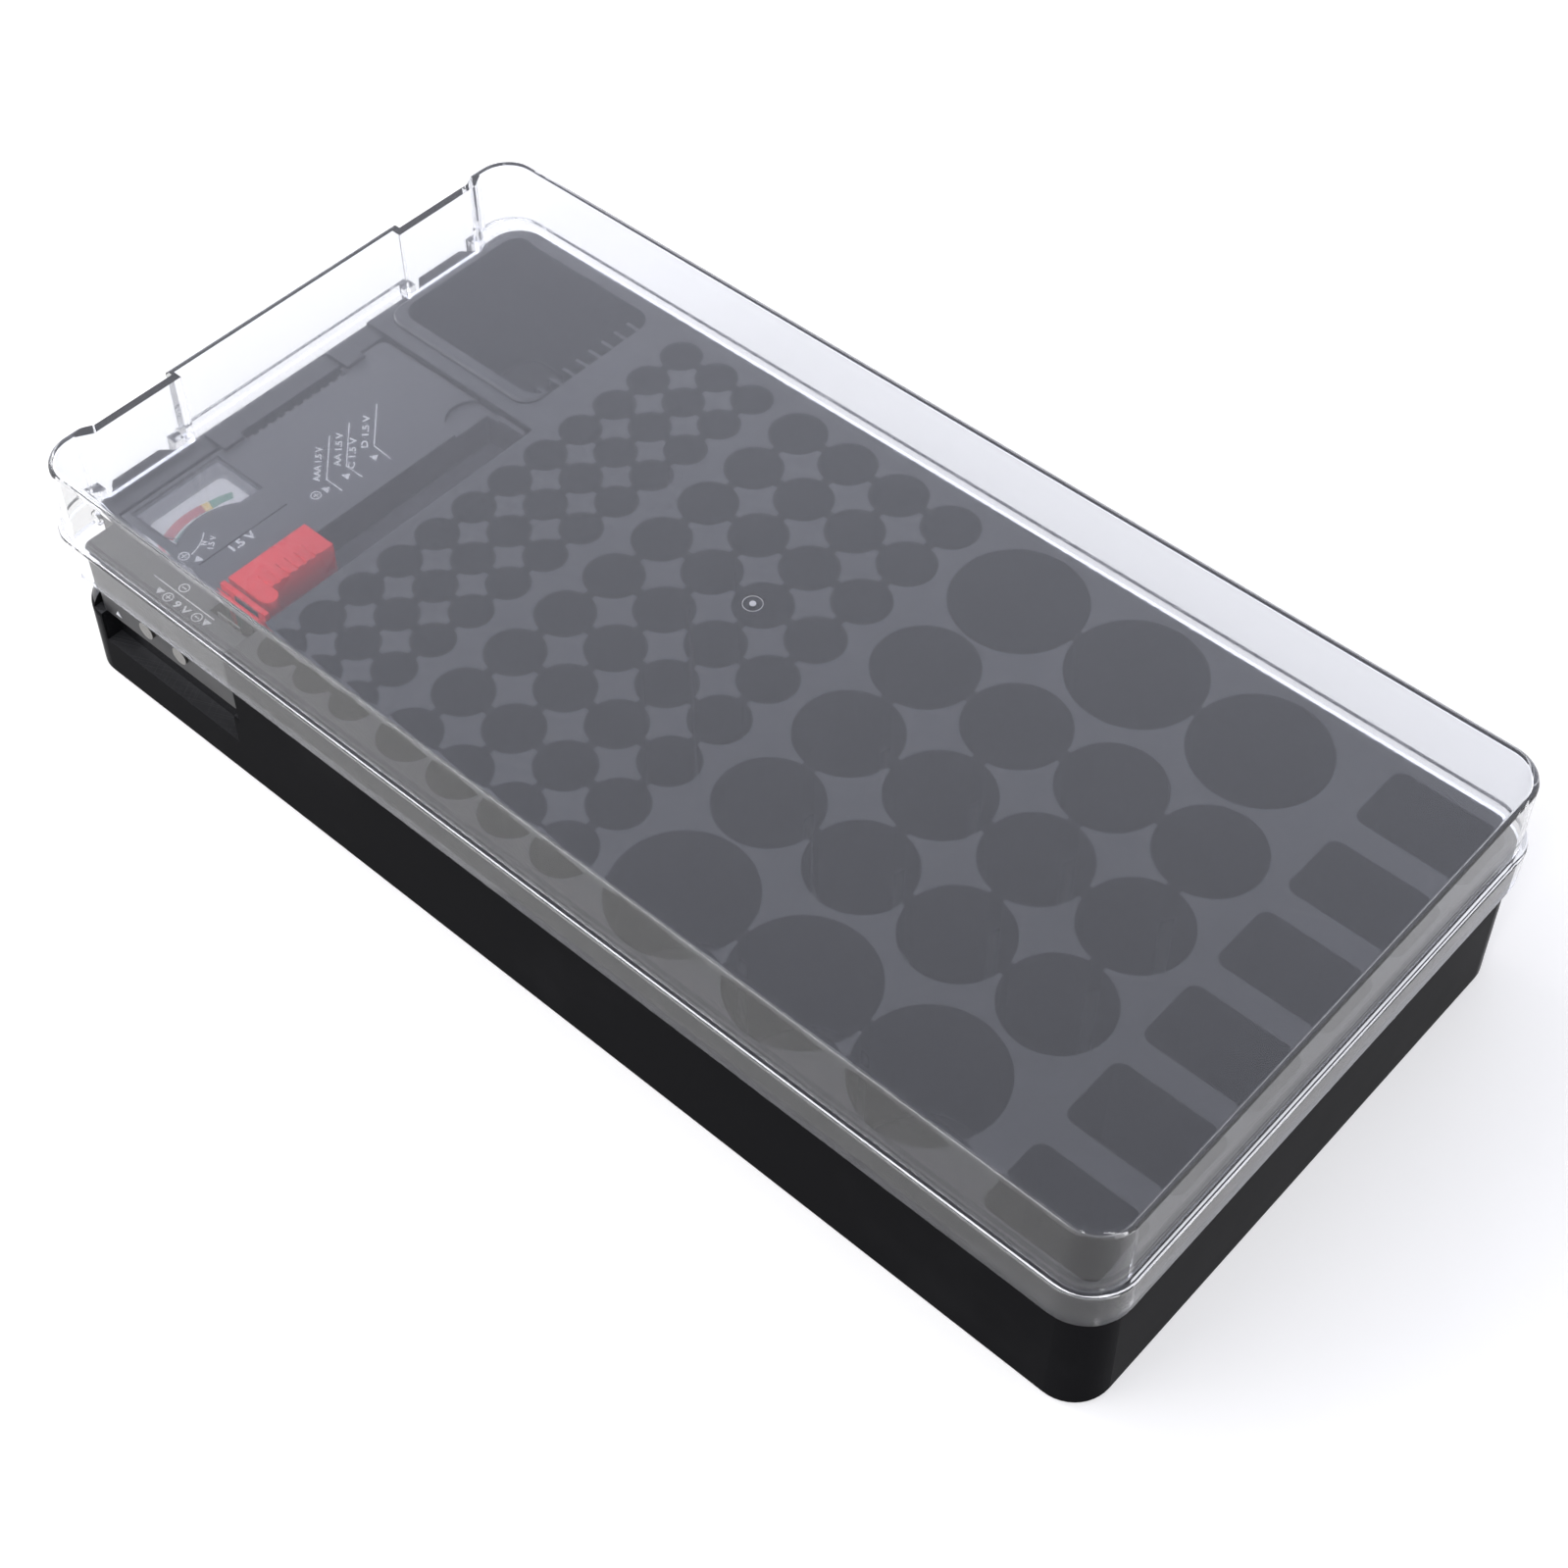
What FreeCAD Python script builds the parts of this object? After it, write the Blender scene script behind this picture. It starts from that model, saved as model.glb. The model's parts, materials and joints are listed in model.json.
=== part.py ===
import FreeCAD, Part
import math
import os
import re

import Sketcher

# Battery storage case: a black moulded tray with a pocket for each cell,
# a clear lid hinged at the left end and a cell tester clipped into the tray.
# Frame: X to the right end, Y to the far long side, Z up, origin on the table
# under the middle of the whole case. Millimetres.

DOC = FreeCAD.newDocument("battery_case")
SHEET = DOC.addObject("Spreadsheet::Sheet", "Sizes")

# How close two places are that count as one
NEARLY = 1e-4

# Driving dimensions: alias, value, what it is
SIZES = [
    ("aaa_dia", 10.5, "AAA cell diameter"),
    ("aaa_play", 0.9, "play of an AAA cell in its pocket"),
    ("aaa_web", 1.12, "wall between AAA pockets"),
    ("aaa_columns", 3, "AAA pockets along X"),
    ("aaa_rows", 12, "AAA pockets along Y"),
    ("aa_dia", 14.5, "AA cell diameter"),
    ("aa_play", 1.0, "play of an AA cell in its pocket"),
    ("aa_web", 1.31, "wall between AA pockets"),
    ("aa_columns", 4, "AA pockets along X"),
    ("aa_rows", 9, "AA pockets along Y"),
    ("c_dia", 26.2, "C cell diameter"),
    ("c_play", 0.6, "play of a C cell in its pocket"),
    ("c_web", 0.74, "wall between C pockets"),
    ("c_columns", 4, "C pockets along X"),
    ("c_rows", 3, "C pockets along Y"),
    ("d_dia", 34.2, "D cell diameter"),
    ("d_long", 61.5, "D cell length, the tallest cell"),
    ("d_play", 0.6, "play of a D cell in its pocket"),
    ("d_web", 0.6, "wall between D pockets, and to the C pockets"),
    ("d_columns", 3, "D pockets in each of the two rows"),
    ("nine_wide", 26.5, "nine volt block width"),
    ("nine_thick", 17.5, "nine volt block thickness"),
    ("nine_play_x", 2.1, "play along the block's width"),
    ("nine_play_y", 1.5, "play along the block's thickness"),
    ("nine_web", 7.35, "wall between nine volt pockets"),
    ("nine_rows", 6, "nine volt pockets along Y"),
    ("nine_corner", 3.0, "corner radius of a nine volt pocket"),
    ("thin_slot", 2.7, "window slot between AAA and AA pockets"),
    ("wide_slot", 3.8, "window slot between C and D pockets"),
    ("land_tester", 3.3, "land between tester bed and AAA pockets"),
    ("land_aa", 4.0, "land between AAA and AA pockets"),
    ("land_c", 3.9, "land between AA and C pockets"),
    ("land_d", 2.9, "land between AA and D pockets"),
    ("land_nine", 4.5, "land between the C or D pockets and the nine volt pockets"),
    ("land_end", 4.6, "land at the right end"),
    ("land_side", 3.3, "least land at the long sides"),
    ("tray_tall", 44.9, "tray height"),
    ("tray_floor", 2.0, "floor under the pockets"),
    ("tray_corner", 10.0, "tray corner radius"),
    ("tray_draft", 1.0, "tray wall draft in degrees"),
    ("edge_round", 0.8, "rounding of the tray's outer edges"),
    ("foot_rim", 6.0, "width of the rim that the tray stands on"),
    ("foot_tall", 0.8, "height of that rim"),
    ("bin_long", 51.5, "open compartment along X"),
    ("bin_wide", 43.9, "open compartment along Y"),
    ("bin_land", 4.9, "land left of the open compartment"),
    ("bin_side", 4.7, "land on its far side"),
    ("bin_corner", 5.5, "compartment corner radius"),
    ("bin_rim", 3.6, "width of the raised rim on the near side"),
    ("bin_rim_end", 2.3, "width of the raised rim on the left"),
    ("bin_rim_tall", 1.2, "height of the raised rim"),
    ("rib_count", 8, "ribs on the compartment's right wall"),
    ("rib_long", 5.0, "how far a rib stands out"),
    ("rib_thick", 1.0, "rib thickness"),
    ("rib_pitch", 4.8, "rib spacing"),
    ("bed_gap", 0.5, "gap between tester and tray walls"),
    ("bed_floor", 21.5, "height of the tester bed"),
    ("bed_side", 6.7, "wall left of the tester"),
    ("wall_drop", 1.3, "that wall below the tray top"),
    ("corner_cut", 13.5, "length of the low corner at the near left"),
    ("corner_tall", 26.0, "height of the low corner"),
    ("corner_round", 6.0, "rounding of the low corner's outer edge"),
    ("scoop_sill", 12.2, "lower edge of the finger scoop"),
    ("scoop_deep", 4.0, "depth of the finger scoop"),
    ("clip_wide", 6.2, "width of a tester clip"),
    ("clip_far", 86.0, "far clip from the tester's near end"),
    ("clip_near", 44.4, "near clip from the tester's near end"),
    ("clip_inset", 1.2, "clip post inside the tray's left edge"),
    ("clip_reach", 2.4, "how far a clip reaches over the tester"),
    ("scoop_end", 2.0, "end of the finger scoop from the bed's right wall"),
    ("fit_gap", 0.2, "gap between faces that seat on each other"),
    ("skirt_end", 4.2, "lid skirt beyond the tray at the hinge end"),
    ("skirt_side", 2.4, "lid skirt beyond the tray at the long sides"),
    ("skirt_far", 2.0, "lid skirt beyond the tray at the right end"),
    ("skirt_drop", 8.7, "skirt bottom below the tray top"),
    ("lid_wall", 1.5, "lid wall thickness"),
    ("lid_plate", 1.6, "lid top thickness"),
    ("lid_step", 2.0, "thickness of the step over the tray rim"),
    ("step_round", 0.8, "rounding of the step's outer edge"),
    ("lid_lap", 0.01, "how far the box wall reaches into the step"),
    ("lid_corner", 12.0, "skirt corner radius"),
    ("lid_draft", 1.0, "draft of the lid box in degrees"),
    ("lid_round", 1.8, "rounding of the lid's top edge"),
    ("head_room", 3.0, "room above a D cell"),
    ("well_deep", 4.7, "depth of a hinge well"),
    ("well_wide", 28.3, "width of a hinge well"),
    ("well_off", 52.45, "middle of a hinge well from the middle of the case"),
    ("well_slope", 4.0, "run of the well's sloping side"),
    ("lug_wide", 21.0, "hinge lug width"),
    ("lug_out", 3.3, "how far a lug stands out"),
    ("lug_bevel", 3.0, "bevel at the lug's top corners"),
    ("lug_drop", 0.3, "lug top below the tray top"),
    ("root", 1.0, "how far added blocks reach into what carries them"),
    ("over_top", 2.0, "how far a cut starts above the tray top"),
    ("axis_out", 2.65, "hinge axis beyond the tray top edge"),
    ("axis_drop", 7.2, "hinge axis below the tray top"),
    ("knuckle", 2.4, "knuckle radius"),
    ("pin_dia", 2.4, "hinge pin diameter"),
    ("pin_long", 2.4, "hinge pin length"),
    ("pin_fit", 0.06, "running clearance round a hinge pin"),
    ("ear_gap", 0.5, "gap between lug and ear"),
    ("ear_radius", 2.2, "ear radius round the hinge axis"),
    ("tester_long", 100.9, "tester length along Y"),
    ("tester_wide", 55.3, "tester width along X"),
    ("tester_tall", 22.0, "tester height"),
    ("tester_split", 9.0, "height of the joint between its two shells"),
    ("tester_near", 1.5, "tester's near end inside the tray's near edge"),
    ("shell", 1.8, "tester wall thickness"),
    ("tester_corner", 3.0, "tester corner radius"),
    ("tester_edge", 0.8, "rounding of the tester's top edge"),
    ("channel_wide", 14.3, "slider channel width"),
    ("channel_deep", 10.0, "slider channel depth"),
    ("channel_near", 7.0, "near end of the channel"),
    ("slot_wide", 3.6, "slot in the channel floor"),
    ("slider_travel", 58.8, "travel of the slider"),
    ("slider_near", 12.2, "near face of the slider at rest"),
    ("slider_long", 19.6, "length of the slider's block"),
    ("slider_lap", 2.4, "slider's lap over the top face"),
    ("slider_block", 10.5, "width of the slider's block"),
    ("slider_lid", 2.4, "height of the slider above the top face"),
    ("slider_gap", 0.4, "running gap round the slider"),
    ("flange_thick", 1.4, "thickness of the slider's end flange"),
    ("neck_long", 1.2, "gap between flange and thumb lobe"),
    ("lobe_long", 4.9, "length of the thumb lobe"),
    ("ridge_count", 6, "grip ridges on the slider"),
    ("ridge_tall", 0.5, "height of a ridge"),
    ("ridge_pitch", 2.8, "ridge spacing"),
    ("stem_long", 10.0, "length of the slider's stem"),
    ("window_left", 1.6, "meter window from the tester's left side"),
    ("window_near", 14.1, "meter window from the tester's near end"),
    ("window_wide", 17.5, "meter window width"),
    ("window_long", 28.2, "meter window length"),
    ("window_arc", 16.0, "radius of the window's round side, about the pivot"),
    ("window_seat", 1.0, "rim that the window rests on"),
    ("window_thick", 1.0, "meter window thickness"),
    ("window_fit", 0.1, "gap round the window"),
    ("dial_down", 3.2, "dial below the top face"),
    ("dial_thick", 0.6, "dial thickness"),
    ("dial_wide", 34.0, "dial width"),
    ("dial_long", 36.0, "dial length"),
    ("dial_left", 2.2, "dial from the tester's left side"),
    ("dial_near", 10.0, "dial from the tester's near end"),
    ("dial_hole", 3.0, "hole in the dial for the staff"),
    ("pivot_x", 31.5, "needle pivot from the tester's left side"),
    ("pivot_y", 25.1, "needle pivot from the tester's near end"),
    ("needle_long", 20.5, "needle length"),
    ("needle_tail", 4.0, "needle's counterweight arm"),
    ("needle_rest", 26.2, "needle at rest, in degrees below the line to the left"),
    ("needle_hub", 4.0, "needle hub diameter"),
    ("needle_wide", 0.7, "needle width"),
    ("needle_thick", 0.3, "needle thickness"),
    ("staff_dia", 1.0, "needle staff diameter"),
    ("staff_fit", 0.05, "running clearance round the staff"),
    ("coil_wide", 9.0, "moving coil width"),
    ("coil_wire", 1.4, "moving coil bundle thickness"),
    ("coil_tall", 5.0, "moving coil height"),
    ("coil_deep", 3.0, "moving coil depth"),
    ("bridge_thick", 1.0, "thickness of the meter bridges"),
    ("bridge_wide", 3.0, "width of the meter bridges"),
    ("bridge_gap", 1.5, "gap between coil and bridges"),
    ("magnet_out", 14.0, "magnet outer size"),
    ("magnet_wall", 2.0, "magnet wall"),
    ("contact_thick", 0.4, "sheet thickness of the contacts"),
    ("contact_wide", 8.0, "width of the 1.5 V contacts"),
    ("stud_dia", 5.0, "nine volt contact stud diameter"),
    ("stud_pitch", 12.7, "nine volt contact spacing"),
    ("stud_out", 0.9, "how far a stud stands out"),
    ("stud_x", 21.0, "first nine volt stud from the tester's left side"),
    ("stud_z", 6.0, "height of the nine volt studs"),
    ("grip_near", 51.5, "near end of the ribbed grip"),
    ("grip_long", 33.5, "length of the ribbed grip"),
    ("grip_deep", 3.0, "depth of the grip"),
    ("grip_ribs", 11, "ribs in the grip"),
    ("grip_rib", 1.2, "thickness of a grip rib"),
    ("grip_pitch", 3.0, "spacing of the grip ribs"),
    ("dish_dia", 14.0, "diameter of the finger dish"),
    ("dish_deep", 1.2, "depth of the finger dish"),
    ("dish_far", 6.1, "dish from the tester's far end"),
    ("groove_wide", 0.5, "width of the groove line"),
    ("groove_deep", 0.3, "depth of the groove line"),
    ("groove_x", 27.8, "groove line from the tester's left side"),
    ("spring_dia", 4.0, "slider spring diameter"),
    ("spring_wire", 0.6, "slider spring wire"),
    ("spring_turns", 6, "slider spring turns"),
    ("resistor_dia", 3.0, "load resistor diameter"),
    ("resistor_long", 9.0, "load resistor length"),
    ("resistor_x", 15.0, "load resistor from the tester's left side"),
    ("resistor_y", 60.0, "load resistor from the tester's near end"),
    ("foot_wide", 8.0, "width of the slider's foot"),
    ("foot_deep", 5.4, "height of the slider's foot"),
    ("contact_long", 3.0, "foot of the fixed contact"),
    ("contact_over", 1.5, "contacts above the top face"),
    ("screw_dia", 2.5, "housing screw diameter"),
    ("screw_head", 4.4, "housing screw head diameter"),
    ("screw_long", 9.0, "housing screw length"),
    ("screw_flat", 1.0, "height of a screw head"),
    ("screw_fit", 0.3, "clearance round a screw in the lower housing"),
    ("boss_dia", 5.6, "screw boss diameter"),
    ("boss_inset", 6.0, "screw boss from the tester's sides"),
]

# Sizes that follow from the driving dimensions
DERIVED = {
    "aaa_hole": "aaa_dia + aaa_play",
    "aaa_pitch": "aaa_hole + aaa_web",
    "aa_hole": "aa_dia + aa_play",
    "aa_pitch": "aa_hole + aa_web",
    "c_hole": "c_dia + c_play",
    "c_pitch": "c_hole + c_web",
    "d_hole": "d_dia + d_play",
    "d_pitch": "d_hole + d_web",
    "nine_x": "nine_wide + nine_play_x",
    "nine_y": "nine_thick + nine_play_y",
    "nine_pitch": "nine_y + nine_web",
    "aaa_first": "bed_right + land_tester + aaa_hole / 2",
    "aaa_edge": "aaa_first + (aaa_columns - 1) * aaa_pitch + aaa_hole / 2",
    "aa_first": "aaa_edge + land_aa + aa_hole / 2",
    "aa_edge": "aa_first + (aa_columns - 1) * aa_pitch + aa_hole / 2",
    "c_first": "aa_edge + land_c + c_hole / 2",
    "c_edge": "c_first + (c_columns - 1) * c_pitch + c_hole / 2",
    "d_first": "aa_edge + land_d + d_hole / 2",
    "d_edge": "d_first + (d_columns - 1) * d_pitch + d_hole / 2",
    "d_row": "(c_rows - 1) / 2 * c_pitch + c_hole / 2 + d_web + d_hole / 2",
    "nine_left": "max(c_edge; d_edge) + land_nine",
    "tray_long": "nine_left + nine_x + land_end",
    "aaa_half": "(aaa_rows - 1) / 2 * aaa_pitch + aaa_hole / 2",
    "aa_half": "(aa_rows - 1) / 2 * aa_pitch + aa_hole / 2",
    "nine_half": "(nine_rows - 1) / 2 * nine_pitch + nine_y / 2",
    "d_half": "d_row + d_hole / 2",
    "half": "max(aaa_half; aa_half; nine_half; d_half) + land_side",
    "draft_out": "tray_tall * tan(tray_draft)",
    "pocket_deep": "tray_tall - tray_floor",
    "bed_left": "bed_side",
    "bed_right": "bed_left + bed_gap + tester_wide + bed_gap",
    "bed_far": "tester_y + tester_long + bed_gap",
    "tester_x": "bed_left + bed_gap",
    "tester_y": "tester_near - half",
    "bin_far": "half - bin_side",
    "bin_near": "bin_far - bin_wide",
    "bin_right": "bin_land + bin_long",
    "wall_top": "tray_tall - wall_drop",
    "low_far": "corner_cut - half",
    "lug_far": "well_off + lug_wide / 2",
    "lug_near": "well_off - lug_wide / 2",
    "axis_z": "tray_tall - axis_drop",
    "skirt_low": "tray_tall - skirt_drop",
    "step_low": "tray_tall + fit_gap",
    "step_top": "step_low + lid_step",
    "lid_top": "tray_floor + d_long + head_room + lid_plate",
    "lid_ceiling": "lid_top - lid_plate",
    "lid_left": "0 - skirt_end",
    "lid_right": "tray_long + skirt_far",
    "lid_half": "half + skirt_side",
    "well_far": "well_off + well_wide / 2",
    "well_near": "well_off - well_wide / 2",
    "well_back": "lid_left + well_deep",
    "ear_thick": "(well_wide - lug_wide) / 2 - ear_gap",
    "case_left": "0 - axis_out - knuckle",
    "case_shift": "0 - (case_left + lid_right) / 2",
    "channel_left": "tester_wide - channel_wide",
    "channel_low": "tester_tall - channel_deep",
    "channel_far": "tester_long - shell",
    "channel_mid": "tester_wide - channel_wide / 2",
    "stem_near": "lobe_far + root",
    "stem_far": "stem_near + stem_long",
    "slot_left": "channel_mid - slot_wide / 2",
    "slider_left": "channel_left - slider_lap",
    "slider_right": "slider_left + slider_block",
    "slider_top": "tester_tall + slider_lid",
    "slider_skirt": "tester_tall + fit_gap",
    "lobe_near": "slider_near + flange_thick + neck_long",
    "lobe_far": "lobe_near + lobe_long",
    "block_far": "lobe_far + slider_long",
    "window_right": "window_left + window_wide",
    "window_far": "window_near + window_long",
    "plate_low": "tester_tall - shell",
    "seat_top": "tester_tall - window_fit * 2 - window_thick",
    "dial_top": "tester_tall - dial_down",
    "dial_low": "dial_top - dial_thick",
    "needle_low": "dial_top + needle_thick * 2",
    "coil_low": "(dial_low + shell - coil_tall) / 2",
    "coil_top": "coil_low + coil_tall",
    "lower_bridge_low": "coil_low - bridge_gap - bridge_thick",
    "upper_bridge_low": "coil_top + bridge_gap",
    "foot_top": "channel_low - shell - slider_gap",
    "foot_low": "foot_top - foot_deep",
    "spring_z": "foot_low + spring_dia / 2",
    "spring_near": "boss_inset + boss_dia / 2",
    "lug_top": "tray_tall - lug_drop",
}


def fill_sheet():
    """Put each driving dimension in a row of the sheet."""
    for row, (alias, value, note) in enumerate(SIZES, start=1):
        SHEET.set(f"A{row}", note)
        SHEET.set(f"B{row}", str(value))
        SHEET.setAlias(f"B{row}", alias)
    DOC.recompute()


ALIASES = {alias for alias, _value, _note in SIZES}


def formula(text):
    """Turn plain size names into an expression on the sheet."""
    def swap(match):
        word = match.group(0)
        if word in DERIVED:
            return "(" + formula(DERIVED[word]) + ")"
        if word in ALIASES:
            return "Sizes." + word
        return word
    return re.sub(r"[a-z][a-z_0-9]*", swap, text)


def size(text):
    """The present value of a formula."""
    return float(SHEET.evalExpression(formula(text)))


def bind(item, prop, text):
    """Bind one property to the sheet."""
    item.setExpression(prop, formula(text))


def new_body(label):
    """An empty body of its own name."""
    body = DOC.addObject("PartDesign::Body", label)
    body.Label = label
    return body


def new_sketch(body, name, level, role="XY_Plane"):
    """A sketch on one of the body's own planes, lifted along its normal."""
    sketch = body.newObject("Sketcher::SketchObject", name)
    plane = [item for item in body.Origin.OriginFeatures if item.Role == role][0]
    sketch.AttachmentSupport = [(plane, "")]
    sketch.MapMode = "FlatFace"
    bind(sketch, "AttachmentOffset.Base.z", level)
    return sketch


def hold(sketch, kind, shape, point, text):
    """Hold one point of a shape at a distance from the origin."""
    number = sketch.addConstraint(
        Sketcher.Constraint(kind, -1, 1, shape, point, size(text)))
    bind(sketch, f"Constraints[{number}]", text)


def polygon(sketch, corners):
    """A closed outline with straight sides through the given corners."""
    places = [FreeCAD.Vector(size(x), size(y), 0) for x, y in corners]
    count = len(places)
    for index in range(count):
        sketch.addGeometry(Part.LineSegment(places[index], places[(index + 1) % count]))
    for index in range(count):
        sketch.addConstraint(
            Sketcher.Constraint("Coincident", index, 2, (index + 1) % count, 1))
    for index, (x, y) in enumerate(corners):
        hold(sketch, "DistanceX", index, 1, x)
        hold(sketch, "DistanceY", index, 1, y)
    return sketch


def block(sketch, x0, x1, y0, y1):
    """A rectangle."""
    return polygon(sketch, [(x0, y0), (x1, y0), (x1, y1), (x0, y1)])


def round_block(sketch, x0, x1, y0, y1, corner):
    """A rectangle with four equal round corners."""
    left, right, near, far, turn = [size(text) for text in (x0, x1, y0, y1, corner)]
    sides = [
        ((left + turn, near), (right - turn, near)),
        ((right, near + turn), (right, far - turn)),
        ((right - turn, far), (left + turn, far)),
        ((left, far - turn), (left, near + turn)),
    ]
    centres = [
        (right - turn, near + turn, -90),
        (right - turn, far - turn, 0),
        (left + turn, far - turn, 90),
        (left + turn, near + turn, 180),
    ]
    up = FreeCAD.Vector(0, 0, 1)
    for (start, end), (x, y, angle) in zip(sides, centres):
        sketch.addGeometry(Part.LineSegment(FreeCAD.Vector(*start, 0), FreeCAD.Vector(*end, 0)))
        circle = Part.Circle(FreeCAD.Vector(x, y, 0), up, turn)
        first = math.radians(angle)
        sketch.addGeometry(Part.ArcOfCircle(circle, first, first + math.pi / 2))
    for side in (0, 2, 4, 6):
        sketch.addConstraint(Sketcher.Constraint("Tangent", side, 2, side + 1, 1))
        sketch.addConstraint(Sketcher.Constraint("Tangent", side + 1, 2, (side + 2) % 8, 1))
    sketch.addConstraint(Sketcher.Constraint("Horizontal", 0))
    sketch.addConstraint(Sketcher.Constraint("Horizontal", 4))
    sketch.addConstraint(Sketcher.Constraint("Vertical", 2))
    sketch.addConstraint(Sketcher.Constraint("Vertical", 6))
    for arc in (3, 5, 7):
        sketch.addConstraint(Sketcher.Constraint("Equal", 1, arc))
    hold(sketch, "DistanceX", 6, 1, x0)
    hold(sketch, "DistanceX", 2, 1, x1)
    hold(sketch, "DistanceY", 0, 1, y0)
    hold(sketch, "DistanceY", 4, 1, y1)
    number = sketch.addConstraint(Sketcher.Constraint("Radius", 1, turn))
    bind(sketch, f"Constraints[{number}]", corner)
    return sketch


def disc(sketch, x, y, diameter):
    """A circle, which may stand beside others in one sketch."""
    up = FreeCAD.Vector(0, 0, 1)
    circle = Part.Circle(FreeCAD.Vector(size(x), size(y), 0), up, size(diameter) / 2)
    shape = sketch.addGeometry(circle)
    hold(sketch, "DistanceX", shape, 3, x)
    hold(sketch, "DistanceY", shape, 3, y)
    number = sketch.addConstraint(Sketcher.Constraint("Diameter", shape, size(diameter)))
    bind(sketch, f"Constraints[{number}]", diameter)
    return sketch


def pad(body, name, sketch, length, taper=0.0, down=False):
    """Grow a solid from a sketch."""
    feature = body.newObject("PartDesign::Pad", name)
    feature.Profile = sketch
    bind(feature, "Length", length)
    feature.Reversed = down
    if taper:
        bind(feature, "TaperAngle", taper)
    body.Tip = feature
    return feature


def pocket(body, name, sketch, length, up=False, taper=0.0):
    """Cut a sketch into the solid, downwards unless told otherwise."""
    DOC.recompute()
    before = body.Shape.Volume
    feature = body.newObject("PartDesign::Pocket", name)
    feature.Profile = sketch
    bind(feature, "Length", length)
    feature.Reversed = up
    if taper:
        bind(feature, "TaperAngle", taper)
    body.Tip = feature
    DOC.recompute()
    if body.Shape.Volume >= before:
        raise ValueError(f"{name} cuts nothing")
    return feature


def repeat(body, name, feature, along_x=None, along_y=None):
    """Repeat a feature in rows, each given as a count and a spacing."""
    rows = []
    for axis, run in (("H_Axis", along_x), ("V_Axis", along_y)):
        if run:
            count, spacing = run
            row = DOC.addObject("PartDesign::LinearPattern", f"{name}_by_{axis[0]}")
            row.Direction = (feature.Profile[0], [axis])
            row.Mode = "Spacing"
            bind(row, "Offset", spacing)
            bind(row, "Occurrences", count)
            rows.append(row)
    grid = body.newObject("PartDesign::MultiTransform", name)
    grid.Originals = [feature]
    grid.Transformations = rows
    body.Tip = grid
    return grid


def mirror(body, name, features):
    """Mirror features to the other long side."""
    plane = [item for item in body.Origin.OriginFeatures if item.Role == "XZ_Plane"][0]
    twin = body.newObject("PartDesign::Mirrored", name)
    twin.Originals = features
    twin.MirrorPlane = (plane, [""])
    body.Tip = twin
    return twin


def round_edges(body, name, radius, wanted):
    """Round the edges that a test picks out."""
    DOC.recompute()
    base = body.Tip
    names = [f"Edge{number}" for number, edge in enumerate(base.Shape.Edges, start=1)
             if wanted(edge)]
    if not names:
        raise ValueError(f"{name} finds no edge")
    feature = body.newObject("PartDesign::Fillet", name)
    feature.Base = (base, names)
    bind(feature, "Radius", radius)
    body.Tip = feature
    return feature


def at_level(edge, level):
    """True when the whole edge lies at one height."""
    box = edge.BoundBox
    return abs(box.ZMin - level) < NEARLY and abs(box.ZMax - level) < NEARLY


def place(body, x="case_shift", y="0", z="0"):
    """Put a body where it belongs in the case."""
    for axis, text in zip("xyz", (x, y, z)):
        bind(body, f"Placement.Base.{axis}", text)


def place_in_tester(body):
    """Put a body where the tester lies in its bed."""
    place(body, "case_shift + tester_x", "tester_y", "bed_floor")


def cell_field(name, kind, first, row, columns, rows, slot):
    """The space of one field of round cells, with the window slots between them."""
    field = new_body(f"{name}_field")
    field.AllowCompound = True
    pin = pad(field, f"{kind}_cell",
              disc(new_sketch(field, f"{kind}_round", "tray_floor"), first, row, f"{kind}_hole"),
              "pocket_deep + over_top")
    repeat(field, f"{kind}_cells", pin, (columns, f"{kind}_pitch"), (rows, f"{kind}_pitch"))
    lane = pad(field, f"{kind}_lane",
               block(new_sketch(field, f"{kind}_lane_outline", "tray_floor"),
                     first, f"{first} + ({columns} - 1) * {kind}_pitch",
                     f"{row} - {slot} / 2", f"{row} + {slot} / 2"),
               "pocket_deep + over_top")
    repeat(field, f"{kind}_lanes", lane, along_y=(rows, f"{kind}_pitch"))
    if rows == "1":
        return field
    aisle = pad(field, f"{kind}_aisle",
                block(new_sketch(field, f"{kind}_aisle_outline", "tray_floor"),
                      f"{first} - {slot} / 2", f"{first} + {slot} / 2",
                      row, f"{row} + ({rows} - 1) * {kind}_pitch"),
                "pocket_deep + over_top")
    repeat(field, f"{kind}_aisles", aisle, along_x=(columns, f"{kind}_pitch"))
    return field


def make_tester_bed(tray):
    """The bed for the tester, open at the near side, with its low corner and finger scoop."""
    left = "0 - draft_out - over_top"
    near = "0 - half - draft_out - over_top"
    low_wall = new_sketch(tray, "low_wall_outline", "tray_tall")
    block(low_wall, left, "bed_right", near, "bed_far")
    pocket(tray, "low_wall", low_wall, "wall_drop")
    low_corner = new_sketch(tray, "low_corner_outline", "wall_top")
    block(low_corner, left, "bed_right", near, "low_far")
    pocket(tray, "low_corner", low_corner, "wall_top - corner_tall")
    top = size("corner_tall")
    far = size("low_far")
    right = size("bed_right")
    round_edges(tray, "corner_rounding", "corner_round", lambda edge: (
        at_level(edge, top) and edge.BoundBox.YMin < far - NEARLY
        and edge.BoundBox.XMin < right - NEARLY))
    bed = new_sketch(tray, "bed_outline", "wall_top")
    block(bed, "bed_left", "bed_right", near, "bed_far")
    pocket(tray, "bed", bed, "wall_top - bed_floor")
    scoop = new_sketch(tray, "scoop_outline", "bed_floor")
    block(scoop, "tray_corner", "bed_right - scoop_end", near, "scoop_deep - half")
    pocket(tray, "scoop", scoop, "bed_floor - scoop_sill")


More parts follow.
